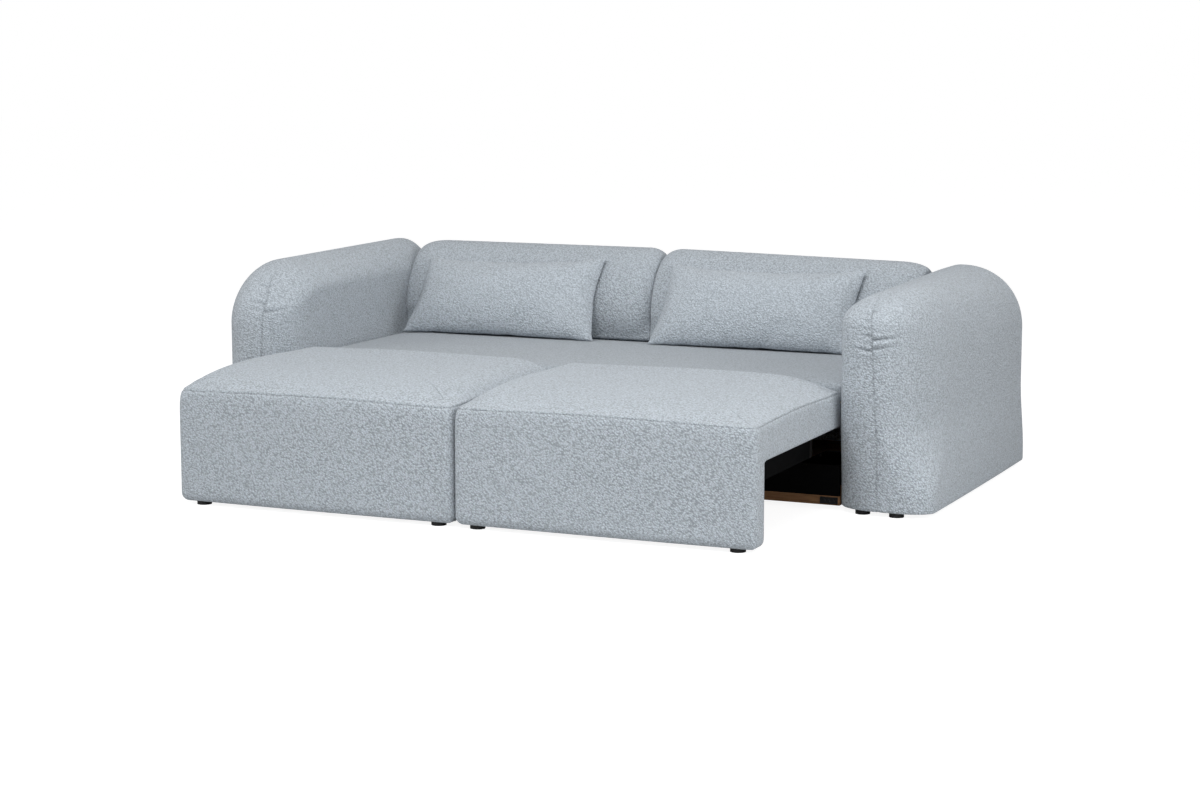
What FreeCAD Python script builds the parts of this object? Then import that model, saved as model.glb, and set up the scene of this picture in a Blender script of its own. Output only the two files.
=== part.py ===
# Step-out sofa bed: two seat modules that swing out together, with a deck that
# rises behind them. Millimetres, +X to the right seen from the front, +Y to the
# back, +Z up. The origin is on the floor under the middle of the open sofa bed.
import FreeCAD, Part
import math
import os

from FreeCAD import Placement, Rotation, Vector

os.makedirs("parts", exist_ok=True)
doc = FreeCAD.newDocument("sofa_bed")

# Driving dimensions
SIZES = [
    ("foot_height", 15), ("foot_diameter", 48), ("soft_clearance", 0.3),
    # seat modules
    ("module_width", 1000), ("module_gap", 4), ("seat_depth", 818),
    ("seam_height", 380), ("slab_underside", 268), ("front_thick", 66), ("front_board_thick", 18),
    ("seat_board_thick", 9), ("seat_rail_depth", 74), ("rail_thick", 25), ("seat_overhang", 140),
    ("seat_pin_inset", 432.6), ("seat_pin_drop", 16),
    ("side_rail_inset", 55), ("foot_inset_x", 68), ("foot_inset_y", 42), ("corner_radius", 26),
    ("seat_edge_radius", 34), ("seat_crown", 15), ("front_bow", 4), ("front_board_edge", 15),
    ("seat_board_inset", 20), ("seat_board_front", 4), ("seat_board_rear", 40),
    ("tie_plate_height", 50), ("tie_plate_half", 60),
    # arms
    ("side_gap", 10), ("arm_width", 335), ("arm_depth", 1167), ("arm_height", 735),
    ("arm_shoulder", 145), ("arm_bow", 30), ("arm_front_fall", 18), ("arm_rear_round", 100),
    ("arm_rear_drop", 235), ("arm_frame_inset", 75), ("arm_frame_height", 540), ("arm_frame_bar", 30),
    ("arm_nose_in", 134), ("arm_nose_in_run", 79), ("arm_nose_out", 150), ("arm_nose_out_run", 358),
    ("arm_nose_drop", 115), ("arm_nose_drop_run", 280), ("arm_tail_in", 90),
    ("arm_tail_round", 96), ("arm_crown", 3), ("arm_frame_front", 185), ("arm_frame_rear", 90),
    ("arm_foot_inner", 84), ("arm_foot_outer", 200), ("arm_foot_front", 50),
    ("arm_foot_front_outer", 38), ("arm_foot_rear", 50),
    # back
    ("back_depth", 263), ("back_bottom", 403), ("back_height", 735), ("back_belly", 34),
    ("back_belly_height", 505), ("back_shoulder_height", 630), ("back_shoulder_set", 7),
    ("back_ridge", 140), ("back_rear_round", 100), ("back_end_round", 70), ("back_end_drop", 30),
    ("back_set", 8), ("back_post_thick", 24), ("back_frame_top", 640), ("back_frame_bar", 40),
    ("back_board_thick", 9), ("back_board_lift", 5), ("back_post_wide", 60), ("back_post_inset", 20),
    ("pocket_wall", 15), ("back_end_in", 26), ("rear_panel_thick", 25), ("rear_panel_bow", 2),
    ("rear_panel_corner", 12),
    # deck
    ("deck_gap", 25), ("deck_tuck", 8), ("deck_edge_height", 395), ("deck_crown", 18),
    ("deck_pad_thick", 53), ("deck_board_thick", 10), ("deck_rail_depth", 40),
    ("deck_side_clearance", 15), ("deck_edge_radius", 30), ("deck_corner", 12), ("deck_board_inset", 20),
    ("cross_rail_gap", 2),
    # base
    ("base_setback", 67), ("base_rail_depth", 30), ("base_rail_wide", 40), ("front_rail_wide", 30),
    ("side_rail_wide", 60), ("front_board_height", 100), ("base_board_thick", 15),
    ("base_foot_diameter", 36), ("base_foot_inset", 50), ("rest_pad", 5), ("rest_pad_shift", 30),
    ("rail_gap", 1), ("board_gap", 2), ("board_slot", 6), ("bolt_end_inset", 160),
    ("guide_plate_set", 35), ("guide_plate_z", 170), ("guide_plate_thick", 4),
    ("guide_plate_wide", 30), ("guide_plate_height", 40),
    # swing arms and links
    ("swing_half_angle", 60), ("swing_arm_spacing", 80),
    ("swing_pivot_height", 58), ("front_pivot_lead", 15), ("outer_plane", 634), ("inner_plane", 174),
    ("arm_bar_thick", 6), ("arm_bar_radius", 14), ("link_length", 260), ("link_start_angle", 16),
    ("link_turn", 72), ("link_plane", 591), ("link_bar_radius", 12), ("link_pivot_inset", 140),
    ("link_spacing", 400), ("pin_diameter", 12), ("pin_clearance", 0.1), ("pin_end", 1),
    ("plate_thick", 8), ("plane_gap", 3), ("bracket_flange", 4), ("bracket_margin", 6),
    ("bracket_top", 2), ("bracket_foot_set", 4),
    # loose pillows
    ("pillow_width", 740), ("pillow_height", 334), ("pillow_belly", 88), ("pillow_rear_bulge", 8),
    ("pillow_lean", 34), ("left_pillow_x", 545), ("right_pillow_x", 430), ("pillow_back_gap", 63),
    ("pillow_flare", 6), ("pillow_rim", 6), ("pillow_sink", 5),
    # fasteners
    ("bolt_diameter", 8), ("bolt_head", 16), ("bolt_head_thick", 5), ("screw_head", 9),
    ("screw_head_thick", 2.5), ("corner_plate", 60), ("corner_plate_inset", 6), ("corner_plate_margin", 4),
]
sheet = doc.addObject("Spreadsheet::Sheet", "Sizes")
for row, (name, value) in enumerate(SIZES, start=1):
    sheet.set("A%d" % row, name)
    sheet.set("B%d" % row, str(value))
    sheet.setAlias("B%d" % row, name)
doc.recompute()


def size(name):
    """Read one driving dimension."""
    return float(getattr(sheet, name))


# Places that several pieces share, each worked out from the driving dimensions
PLACES = [
    ("seat_frame_z", "Sizes.slab_underside - Sizes.seat_board_thick - Sizes.seat_rail_depth"),
    ("seat_pin_z", "Sizes.slab_underside - Sizes.seat_board_thick - Sizes.seat_pin_drop"),
    ("swing_rise", "seat_pin_z - Sizes.swing_pivot_height"),
    ("swing_arm_length", "swing_rise / cos(Sizes.swing_half_angle * 1 deg)"),
    ("swing_reach", "swing_rise * tan(Sizes.swing_half_angle * 1 deg)"),
    ("overall_depth", "Sizes.arm_depth - Sizes.base_setback + Sizes.front_pivot_lead + swing_reach"
                      " + Sizes.seat_pin_inset"),
    ("front_y", "-overall_depth / 2"),
    ("rear_y", "overall_depth / 2"),
    ("seat_rear_y", "front_y + Sizes.seat_depth"),
    ("seat_frame_rear_y", "seat_rear_y - Sizes.seat_overhang"),
    ("front_back_y", "front_y + Sizes.front_thick"),
    ("arm_front_y", "rear_y - Sizes.arm_depth"),
    ("arm_in_x", "Sizes.module_width + Sizes.side_gap"),
    ("arm_out_x", "arm_in_x + Sizes.arm_width"),
    ("deck_front_y", "seat_rear_y + Sizes.deck_gap"),
    ("back_front_y", "rear_y - Sizes.back_depth"),
    ("deck_rear_y", "back_front_y + Sizes.deck_tuck"),
    ("deck_half", "arm_in_x - Sizes.deck_side_clearance"),
    ("deck_pad_z", "Sizes.deck_edge_height - Sizes.deck_pad_thick"),
    ("deck_board_z", "deck_pad_z - Sizes.deck_board_thick"),
    ("deck_rail_z", "deck_board_z - Sizes.deck_rail_depth"),
    ("base_front_y", "arm_front_y + Sizes.base_setback"),
    ("base_top_z", "Sizes.foot_height + Sizes.base_rail_depth"),
    ("front_pivot_y", "base_front_y - Sizes.front_pivot_lead"),
    ("rear_pivot_y", "front_pivot_y + Sizes.swing_arm_spacing"),
    ("link_reach", "Sizes.link_length * sin(Sizes.link_start_angle * 1 deg)"),
    ("link_rise", "Sizes.link_length * cos(Sizes.link_start_angle * 1 deg)"),
    ("back_post_y", "rear_y - Sizes.back_set - Sizes.rear_panel_thick - Sizes.soft_clearance"
                    " - Sizes.back_post_thick"),
    ("rear_rail_y", "back_post_y - Sizes.base_rail_wide"),
]
places = doc.addObject("Spreadsheet::Sheet", "Places")
for row, (name, formula) in enumerate(PLACES, start=1):
    places.set("A%d" % row, name)
    places.set("B%d" % row, "=" + formula)
    places.setAlias("B%d" % row, name)
doc.recompute()


def place(name):
    """Read one shared place."""
    return float(getattr(places, name))


NODES = []


def node(item, name):
    """Name an object as a sub-part of the sofa bed."""
    item.Label = name
    NODES.append(item)
    return item


def bind(item, **formulas):
    """Bind properties to formulas, x, y and z being the place."""
    for key, formula in formulas.items():
        target = "Placement.Base." + key if key in ("x", "y", "z") else key
        item.setExpression(target, formula)
    return item


def box(name, x, y, z, length, width, height):
    """A block from its low corner and its three sizes."""
    item = doc.addObject("Part::Box", name)
    return bind(item, x=x, y=y, z=z, Length=length, Width=width, Height=height)


def rod(name, axis, x, y, z, radius, height):
    """A cylinder that starts at a point and runs along one axis."""
    item = doc.addObject("Part::Cylinder", name)
    item.Placement = Placement(Vector(), Rotation(Vector(0, 0, 1), axis))
    return bind(item, x=x, y=y, z=z, Radius=radius, Height=height)


def group(name, items):
    """Several like pieces in one node, each its own solid."""
    item = doc.addObject("Part::Compound", name + "_set")
    item.Links = items
    return node(item, name)


def cut(name, base, tool):
    """A piece less another."""
    item = doc.addObject("Part::Cut", name)
    item.Base = base
    item.Tool = tool
    return item


def fuse(name, items):
    """Blocks joined into one piece, or the one block there is."""
    if len(items) == 1:
        return items[0]
    item = doc.addObject("Part::MultiFuse", name)
    item.Shapes = items
    return item


ALONG_X = Vector(1, 0, 0)
ALONG_Z = Vector(0, 0, 1)
SIDES = (("left", -1), ("right", 1))


def low_x(side, near, far):
    """The low X of a block that lies between two distances from the middle."""
    return near if side > 0 else "-(%s)" % far


# Soft forms: closed lofts through outlines of lines and arcs
QUARTER = math.sqrt(0.5)


def swell(distance, radius):
    """How full a rounded end is at a distance from it, 0 to 1, on a quarter circle."""
    part = min(max(distance / radius, 0.0), 1.0)
    return math.sqrt(1 - (1 - part) ** 2)


def corner_arc(start, corner, end):
    """A quarter round from start to end that turns at a corner: its mid point and its end."""
    centre = (start[0] + end[0] - corner[0], start[1] + end[1] - corner[1])
    middle = tuple(c + (k - c) * QUARTER for c, k in zip(centre, corner))
    return middle, end


def outline(steps, at):
    """A closed wire: the first step is a corner, the rest are corners or pairs of mid and end point."""
    edges = []
    last = steps[0]
    for step in steps[1:]:
        is_arc = isinstance(step[0], tuple)
        end = step[1] if is_arc else step
        if is_arc:
            edges.append(Part.Arc(at(*last), at(*step[0]), at(*end)).toShape())
        else:
            edges.append(Part.LineSegment(at(*last), at(*end)).toShape())
        last = end
    return Part.Wire(edges)


END_STEPS = (0.0, 0.04, 0.15, 0.33, 0.6, 1.0)
MIDDLE_STEPS = (0.2, 0.5, 0.8)


def loft_x(low, high, radius, section):
    """A loft along X: section gives the outline in Y and Z at a distance from the nearer end."""
    reach = min(radius, (high - low) / 3)
    near = [low + reach * step for step in END_STEPS]
    far = [high - reach * step for step in reversed(END_STEPS)]
    middle = [near[-1] + (far[0] - near[-1]) * step for step in MIDDLE_STEPS]
    wires = []
    for x in near + middle + far:
        distance = min(x - low, high - x)
        wires.append(outline(section(distance), lambda u, v, x=x: Vector(x, u, v)))
    return Part.makeLoft(wires, True, True)


FOOT = 8.0


def crowned(low_y, high_y, low_z, edge_z, shoulder, crown, corner, half):
    """Outlines of a pad: flat below, upright walls, round shoulders and a crowned top."""
    def section(distance):
        full = swell(distance, shoulder)
        ya = low_y + corner * (1 - full)
        yb = high_y - corner * (1 - full)
        turn = max(shoulder * full, 3.0)
        top = edge_z + turn
        rise = max(crown * swell(distance, half), 0.5)
        return [
            (ya + FOOT, low_z),
            (yb - FOOT, low_z),
            corner_arc((yb - FOOT, low_z), (yb, low_z), (yb, low_z + FOOT)),
            (yb, edge_z),
            corner_arc((yb, edge_z), (yb, top), (yb - turn, top)),
            (((ya + yb) / 2, top + rise), (ya + turn, top)),
            corner_arc((ya + turn, top), (ya, top), (ya, edge_z)),
            (ya, low_z + FOOT),
            corner_arc((ya, low_z + FOOT), (ya, low_z), (ya + FOOT, low_z)),
        ]
    return section


def front_section(front, rear, low_z, high_z, bow, corner):
    """Outlines of the upright front pad, its face bowed a little outwards."""
    def section(distance):
        full = swell(distance, corner)
        ya = front + bow + corner * 0.7 * (1 - full)
        middle = (low_z + high_z) / 2
        return [
            (ya + FOOT, low_z),
            (rear, low_z),
            (rear, high_z),
            (ya + FOOT, high_z),
            corner_arc((ya + FOOT, high_z), (ya, high_z), (ya, high_z - FOOT)),
            ((ya - bow * full - 0.2, middle), (ya, low_z + FOOT)),
            corner_arc((ya, low_z + FOOT), (ya, low_z), (ya + FOOT, low_z)),
        ]
    return section


def soft(name, shape):
    """A soft piece as a sub-part."""
    item = doc.addObject("Part::Feature", name + "_form")
    item.Shape = shape
    item.Placement = Placement()
    return node(item, name)


def block(low, high):
    """A plain block between two corners."""
    return Part.makeBox(high[0] - low[0], high[1] - low[1], high[2] - low[2], Vector(*low))


def mirrored(shape, side):
    """The right-hand form, or its mirror image on the left."""
    return shape if side > 0 else shape.mirror(Vector(), ALONG_X)


# How far a cut runs past the face it opens
PAST = 1.0
clear = size("soft_clearance")
inner_x = size("module_gap") / 2
outer_x = size("module_width")
front_y = place("front_y")
rear_y = place("rear_y")
front_back_y = place("front_back_y")
seat_rear_y = place("seat_rear_y")
foot_z = size("foot_height")

# Seat modules: a crowned slab over a boxed frame, and an upright front
half_module = (outer_x - inner_x) / 2
slab = loft_x(inner_x, outer_x, size("seat_edge_radius"),
              crowned(front_y, seat_rear_y, size("slab_underside"), size("seam_height"),
                      size("seat_edge_radius"), size("seat_crown"), size("corner_radius"), half_module))
slab = slab.cut(block((0, front_y - PAST, size("slab_underside") - PAST),
                      (outer_x + PAST, front_back_y + clear, size("seam_height"))))
board_y = front_back_y - size("front_board_thick")
front_pad = loft_x(inner_x, outer_x, size("corner_radius"),
                   front_section(front_y, front_back_y, foot_z, size("seam_height") - clear,
                                 size("front_bow"), size("corner_radius")))
board_edge = size("front_board_edge")
front_pad = front_pad.cut(block((inner_x + board_edge, board_y, foot_z + board_edge),
                                (outer_x - board_edge, front_back_y + PAST,
                                 size("seam_height") - board_edge)))
for side_name, side in SIDES:
    soft(side_name + "_seat_pad", mirrored(slab, side))
    soft(side_name + "_front_pad", mirrored(front_pad, side))
    edge = "Sizes.module_gap / 2 + Sizes.front_board_edge + Sizes.soft_clearance"
    far_edge = "Sizes.module_width - Sizes.front_board_edge - Sizes.soft_clearance"
    board = box(side_name + "_front_board_block", low_x(side, edge, far_edge),
                "Places.front_back_y - Sizes.front_board_thick + Sizes.soft_clearance",
                "Sizes.foot_height + Sizes.front_board_edge + Sizes.soft_clearance",
                far_edge + " - (" + edge + ")", "Sizes.front_board_thick - Sizes.soft_clearance",
                "Sizes.seam_height - Sizes.foot_height - 2 * Sizes.front_board_edge"
                " - 2 * Sizes.soft_clearance")
    node(board, side_name + "_front_board")
    near = "Sizes.module_gap / 2 + Sizes.seat_board_inset"
    far = "Sizes.module_width - Sizes.side_rail_inset"
    board = box(side_name + "_seat_board_block", low_x(side, near, far),
                "Places.front_back_y + Sizes.seat_board_front",
                "Sizes.slab_underside - Sizes.seat_board_thick", far + " - (" + near + ")",
                "Sizes.seat_depth - Sizes.front_thick - Sizes.seat_board_front - Sizes.seat_board_rear",
                "Sizes.seat_board_thick - Sizes.soft_clearance")
    node(board, side_name + "_seat_board")

# Seat frame: timber rails under the boards, one beside each swing arm
SEAT_RAIL_Y = "Places.front_back_y + Sizes.rail_thick"
SEAT_RAIL_LENGTH = "Places.seat_frame_rear_y - Sizes.rail_thick - (%s)" % SEAT_RAIL_Y
SEAT_RAIL_HEIGHT = "Sizes.seat_rail_depth"
rails = []
near = "Sizes.module_width - Sizes.side_rail_inset - Sizes.rail_thick"
for side_name, side in SIDES:
    rails.append(box(side_name + "_seat_side_rail", low_x(side, near, near + " + Sizes.rail_thick"),
                     SEAT_RAIL_Y, "Places.seat_frame_z", "Sizes.rail_thick",
                     SEAT_RAIL_LENGTH, SEAT_RAIL_HEIGHT))
group("seat_side_rails", rails)
rails = []
for name, start in (("front", "Places.front_back_y"),
                    ("rear", "Places.seat_frame_rear_y - Sizes.rail_thick")):
    near = "Sizes.module_gap / 2"
    far = "Sizes.module_width - Sizes.side_rail_inset"
    for side_name, side in SIDES:
        rails.append(box("seat_%s_cross_rail_%s" % (name, side_name), low_x(side, near, far), start,
                         "Places.seat_frame_z", far + " - " + near, "Sizes.rail_thick", SEAT_RAIL_HEIGHT))
group("seat_cross_rails", rails)
PLANES = ("Sizes.outer_plane", "Sizes.inner_plane")
ARM_FACE = "%s + Sizes.arm_bar_thick / 2 + Sizes.plane_gap"
rails = []
for side_name, side in SIDES:
    for number, plane in enumerate(PLANES):
        near = ARM_FACE % plane
        rails.append(box("%s_seat_arm_rail_%d" % (side_name, number),
                         low_x(side, near, near + " + Sizes.rail_thick"), SEAT_RAIL_Y,
                         "Places.seat_frame_z", "Sizes.rail_thick", SEAT_RAIL_LENGTH, SEAT_RAIL_HEIGHT))
PIN_HOLE = "Sizes.pin_diameter / 2"
SEAT_PIN_Z = "Places.seat_pin_z"
SEAT_PIN_YS = ("Places.front_pivot_y - Places.swing_reach", "Places.rear_pivot_y - Places.swing_reach")
pins = []
holes = []
for side_name, side in SIDES:
    for number, plane in enumerate(PLANES):
        near = "%s - Sizes.arm_bar_thick / 2 - Sizes.pin_end" % plane
        length = "Sizes.arm_bar_thick + Sizes.pin_end + Sizes.plane_gap + Sizes.rail_thick"
        for end, pin_y in enumerate(SEAT_PIN_YS):
            name = "%s_seat_pin_%d_%d" % (side_name, number, end)
            start = low_x(side, near, near + " + " + length)
            pins.append(rod(name, ALONG_X, start, pin_y, SEAT_PIN_Z, PIN_HOLE, length))
            holes.append(rod(name + "_hole", ALONG_X, start, pin_y, SEAT_PIN_Z, PIN_HOLE, length))
arm_rails = fuse("seat_arm_rail_blocks", rails)
node(cut("seat_arm_rails_drilled", arm_rails, fuse("seat_pin_holes", holes)), "seat_arm_rails")
group("seat_pins", pins)
feet = []
foot_y = "Places.front_y + Sizes.foot_inset_y"
for side_name, side in SIDES:
    for number, foot_x in enumerate(("Sizes.foot_inset_x", "Sizes.module_width - Sizes.foot_inset_x")):
        feet.append(rod("%s_seat_foot_%d" % (side_name, number), ALONG_Z,
                        low_x(side, foot_x, foot_x), foot_y, "0", "Sizes.foot_diameter / 2",
                        "Sizes.foot_height"))
group("seat_feet", feet)
plates = []
for name, start in (("front", SEAT_RAIL_Y), ("rear", "Places.seat_frame_rear_y")):
    plates.append(box("module_plate_%s" % name, "-Sizes.tie_plate_half", start,
                      "Places.seat_frame_z + (Sizes.seat_rail_depth - Sizes.tie_plate_height) / 2",
                      "2 * Sizes.tie_plate_half", "Sizes.bracket_flange", "Sizes.tie_plate_height"))
group("module_tie_plates", plates)


# Swing arms and deck links: flat bars with round ends and a pin hole at each end
def bar(name, x, y, z, angle, length, radius):
    """A flat bar that stands on its lower pin and leans forward by an angle."""
    thick = "Sizes.arm_bar_thick"
    near = "-%s / 2" % thick
    blade = box(name + "_blade", near, "-" + radius, "0", thick, "2 * " + radius, length)
    ends = [rod("%s_end_%d" % (name, number), ALONG_X, near, "0", height, radius, thick)
            for number, height in enumerate(("0", length))]
    holes = [rod("%s_hole_%d" % (name, number), ALONG_X, near + " - Sizes.pin_end", "0", height,
                 "Sizes.pin_diameter / 2 + Sizes.pin_clearance", thick + " + 2 * Sizes.pin_end")
             for number, height in enumerate(("0", length))]
    item = cut(name, fuse(name + "_blank", [blade] + ends), fuse(name + "_holes", holes))
    item.Placement = Placement(Vector(), Rotation(ALONG_X, 1))
    bind(item, x=x, y=y, z=z)
    item.setExpression("Placement.Rotation.Angle", angle)
    return item


BASE_PIVOTS = (("front", "Places.front_pivot_y"), ("rear", "Places.rear_pivot_y"))
for end, pivot_y in BASE_PIVOTS:
    bars = []
    for side_name, side in SIDES:
        for number, plane in enumerate(PLANES):
            bars.append(bar("%s_%s_swing_arm_%d" % (side_name, end, number), low_x(side, plane, plane),
                            pivot_y, "Sizes.swing_pivot_height", "Sizes.swing_half_angle",
                            "Places.swing_arm_length", "Sizes.arm_bar_radius"))
    group(end + "_swing_arms", bars)

DECK_PIN_Z = "Places.deck_rail_z + Sizes.deck_rail_depth / 2"
DECK_PINS = (("front", "Places.deck_front_y + Sizes.link_pivot_inset"),
             ("rear", "Places.deck_front_y + Sizes.link_pivot_inset + Sizes.link_spacing"))
LINK_BASE_Z = DECK_PIN_Z + " - Places.link_rise"
for end, pin_y in DECK_PINS:
    bars = []
    for side_name, side in SIDES:
        bars.append(bar("%s_%s_deck_link" % (side_name, end),
                        low_x(side, "Sizes.link_plane", "Sizes.link_plane"),
                        pin_y + " - Places.link_reach", LINK_BASE_Z, "-Sizes.link_start_angle",
                        "Sizes.link_length", "Sizes.link_bar_radius"))
    group(end + "_deck_links", bars)

# Deck: a padded platform on a light timber frame
deck_half = place("deck_half")
deck_round = size("deck_edge_radius")
deck_form = loft_x(-deck_half, deck_half, deck_round,
                   crowned(place("deck_front_y"), place("deck_rear_y"), place("deck_pad_z"),
                           size("deck_edge_height") - deck_round, deck_round, size("deck_crown"),
                           size("deck_corner"), deck_half))
soft("deck_pad", deck_form)
node(box("deck_board_block", "-(Places.deck_half - Sizes.deck_board_inset)",
         "Places.deck_front_y + Sizes.deck_board_inset", "Places.deck_board_z",
         "2 * (Places.deck_half - Sizes.deck_board_inset)",
         "Places.deck_rear_y - Places.deck_front_y - 2 * Sizes.deck_board_inset",
         "Sizes.deck_board_thick - Sizes.soft_clearance"), "deck_board")
DECK_IN_Y = "Places.deck_front_y + Sizes.deck_board_inset"
DECK_IN_LENGTH = "Places.deck_rear_y - Places.deck_front_y - 2 * Sizes.deck_board_inset"
side_far = "Places.deck_half - Sizes.deck_board_inset"
side_near = side_far + " - Sizes.rail_thick"
long_far = "Sizes.link_plane - Sizes.arm_bar_thick / 2 - Sizes.plane_gap"
long_near = long_far + " - Sizes.rail_thick"
side_rails = []
long_rails = []
deck_pins = []
deck_holes = []
for side_name, side in SIDES:
    side_rails.append(box(side_name + "_deck_side_rail", low_x(side, side_near, side_far), DECK_IN_Y,
                          "Places.deck_rail_z", "Sizes.rail_thick", DECK_IN_LENGTH, "Sizes.deck_rail_depth"))
    long_rails.append(box(side_name + "_deck_long_rail", low_x(side, long_near, long_far), DECK_IN_Y,
                          "Places.deck_rail_z", "Sizes.rail_thick", DECK_IN_LENGTH, "Sizes.deck_rail_depth"))
    pin_length = "Sizes.rail_thick + Sizes.plane_gap + Sizes.arm_bar_thick + Sizes.pin_end"
    for end, pin_y in DECK_PINS:
        for kind, kept in (("pin", deck_pins), ("pin_hole", deck_holes)):
            start = low_x(side, long_near, long_near + " + " + pin_length)
            kept.append(rod("%s_%s_deck_%s" % (side_name, end, kind), ALONG_X, start, pin_y, DECK_PIN_Z,
                            PIN_HOLE, pin_length))
group("deck_side_rails", side_rails)
node(cut("deck_long_rails_drilled", fuse("deck_long_rail_blocks", long_rails),
         fuse("deck_pin_holes", deck_holes)), "deck_long_rails")
group("deck_pins", deck_pins)
outer_start = ("Sizes.link_plane + Sizes.arm_bar_thick / 2 + 2 * Sizes.plane_gap + Sizes.plate_thick"
               " + Sizes.cross_rail_gap")
MID_RAIL_Y = "(Places.deck_front_y + Places.deck_rear_y - Sizes.rail_thick) / 2"
CROSS_YS = (("front", DECK_IN_Y), ("middle", MID_RAIL_Y),
            ("rear", "Places.deck_rear_y - Sizes.deck_board_inset - Sizes.rail_thick"))
rails = []
for name, rail_y in CROSS_YS:
    rails.append(box("deck_%s_cross_centre" % name, "-(%s)" % long_near, rail_y, "Places.deck_rail_z",
                     "2 * (%s)" % long_near, "Sizes.rail_thick", "Sizes.deck_rail_depth"))
    for side_name, side in SIDES:
        rails.append(box("deck_%s_cross_%s" % (name, side_name), low_x(side, outer_start, side_near), rail_y,
                         "Places.deck_rail_z", side_near + " - (" + outer_start + ")", "Sizes.rail_thick",
                         "Sizes.deck_rail_depth"))
group("deck_cross_rails", rails)

# Base: a low timber ladder between the arms, with the pivots of the mechanism on it
BASE_HALF = "Places.arm_in_x - Sizes.soft_clearance"
BASE_Z = "Sizes.foot_height"
BASE_DEPTH = "Sizes.base_rail_depth"
node(box("base_front_rail_block", "-(%s)" % BASE_HALF, "Places.base_front_y", BASE_Z,
         "2 * (%s)" % BASE_HALF, "Sizes.front_rail_wide", BASE_DEPTH), "base_front_rail")
node(box("base_rear_rail_block", "-(%s)" % BASE_HALF, "Places.rear_rail_y", BASE_Z,
         "2 * (%s)" % BASE_HALF, "Sizes.base_rail_wide", BASE_DEPTH), "base_rear_rail")
LONG_Y = "Places.base_front_y + Sizes.front_rail_wide"
LONG_LENGTH = "Places.rear_rail_y - (%s)" % LONG_Y
RAIL_EDGE = "%s - Sizes.arm_bar_thick / 2 - Sizes.rail_gap"
long_rails = []
side_rails = []
base_feet = []
for side_name, side in SIDES:
    for number, plane in enumerate(PLANES):
        far = RAIL_EDGE % plane
        near = far + " - Sizes.base_rail_wide"
        long_rails.append(box("%s_base_long_rail_%d" % (side_name, number), low_x(side, near, far), LONG_Y,
                              BASE_Z, "Sizes.base_rail_wide", LONG_LENGTH, BASE_DEPTH))
        middle = far + " - Sizes.base_rail_wide / 2"
        for end, foot_y in (("front", LONG_Y + " + Sizes.base_foot_inset"),
                            ("rear", "Places.rear_rail_y - Sizes.base_foot_inset")):
            base_feet.append(rod("%s_base_foot_%d_%s" % (side_name, number, end), ALONG_Z,
                                 low_x(side, middle, middle), foot_y, "0", "Sizes.base_foot_diameter / 2",
                                 "Sizes.foot_height"))
    far = BASE_HALF
    near = far + " - Sizes.side_rail_wide"
    side_rails.append(box(side_name + "_base_side_rail_block", low_x(side, near, far), LONG_Y, BASE_Z,
                          "Sizes.side_rail_wide", LONG_LENGTH, BASE_DEPTH))
group("base_long_rails", long_rails)
group("base_feet", base_feet)

# Black board across the front of the base, in lengths that leave the swing arms free
SLOT_IN = RAIL_EDGE + " - Sizes.base_rail_wide + Sizes.bracket_foot_set - Sizes.board_gap"
SLOT_OUT = "%s + Sizes.arm_bar_thick / 2 + Sizes.board_slot"
boards = []
spans = [("-(%s)" % (SLOT_IN % PLANES[1]), "2 * (%s)" % (SLOT_IN % PLANES[1]), "centre")]
for side_name, side in SIDES:
    for near, far, name in ((SLOT_OUT % PLANES[1], SLOT_IN % PLANES[0], "middle"),
                            (SLOT_OUT % PLANES[0], "Places.arm_in_x - Sizes.board_gap", "outer")):
        spans.append((low_x(side, near, far), far + " - (" + near + ")", side_name + "_" + name))
for start, length, name in spans:
    boards.append(box("base_board_" + name, start, "Places.base_front_y", "Places.base_top_z", length,
                      "Sizes.base_board_thick", "Sizes.front_board_height"))
group("base_front_boards", boards)


# Brackets: an upright plate with a foot that is screwed down, drilled for the pins
def bracket(name, side, plate_near, foot_near, foot_far, start_y, length, top_z, pins):
    """An angle bracket on a rail, with a hole for each pin."""
    plate_far = plate_near + " + Sizes.plate_thick"
    plate = box(name + "_plate", low_x(side, plate_near, plate_far), start_y, "Places.base_top_z",
                "Sizes.plate_thick", length, top_z + " - Places.base_top_z")
    foot = box(name + "_foot", low_x(side, foot_near, foot_far), start_y, "Places.base_top_z",
               foot_far + " - (" + foot_near + ")", length, "Sizes.bracket_flange")
    holes = []
    for number, (pin_y, pin_z) in enumerate(pins):
        holes.append(rod("%s_hole_%d" % (name, number), ALONG_X,
                         low_x(side, plate_near + " - Sizes.pin_end", plate_far + " + Sizes.pin_end"),
                         pin_y, pin_z, PIN_HOLE, "Sizes.plate_thick + 2 * Sizes.pin_end"))
    return cut(name, fuse(name + "_blank", [plate, foot]), fuse(name + "_holes", holes))


def base_pin(name, side, near, far, pin_y, pin_z):
    """A pin along X between two distances from the middle."""
    return rod(name, ALONG_X, low_x(side, near, far), pin_y, pin_z, PIN_HOLE, far + " - (" + near + ")")


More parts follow.
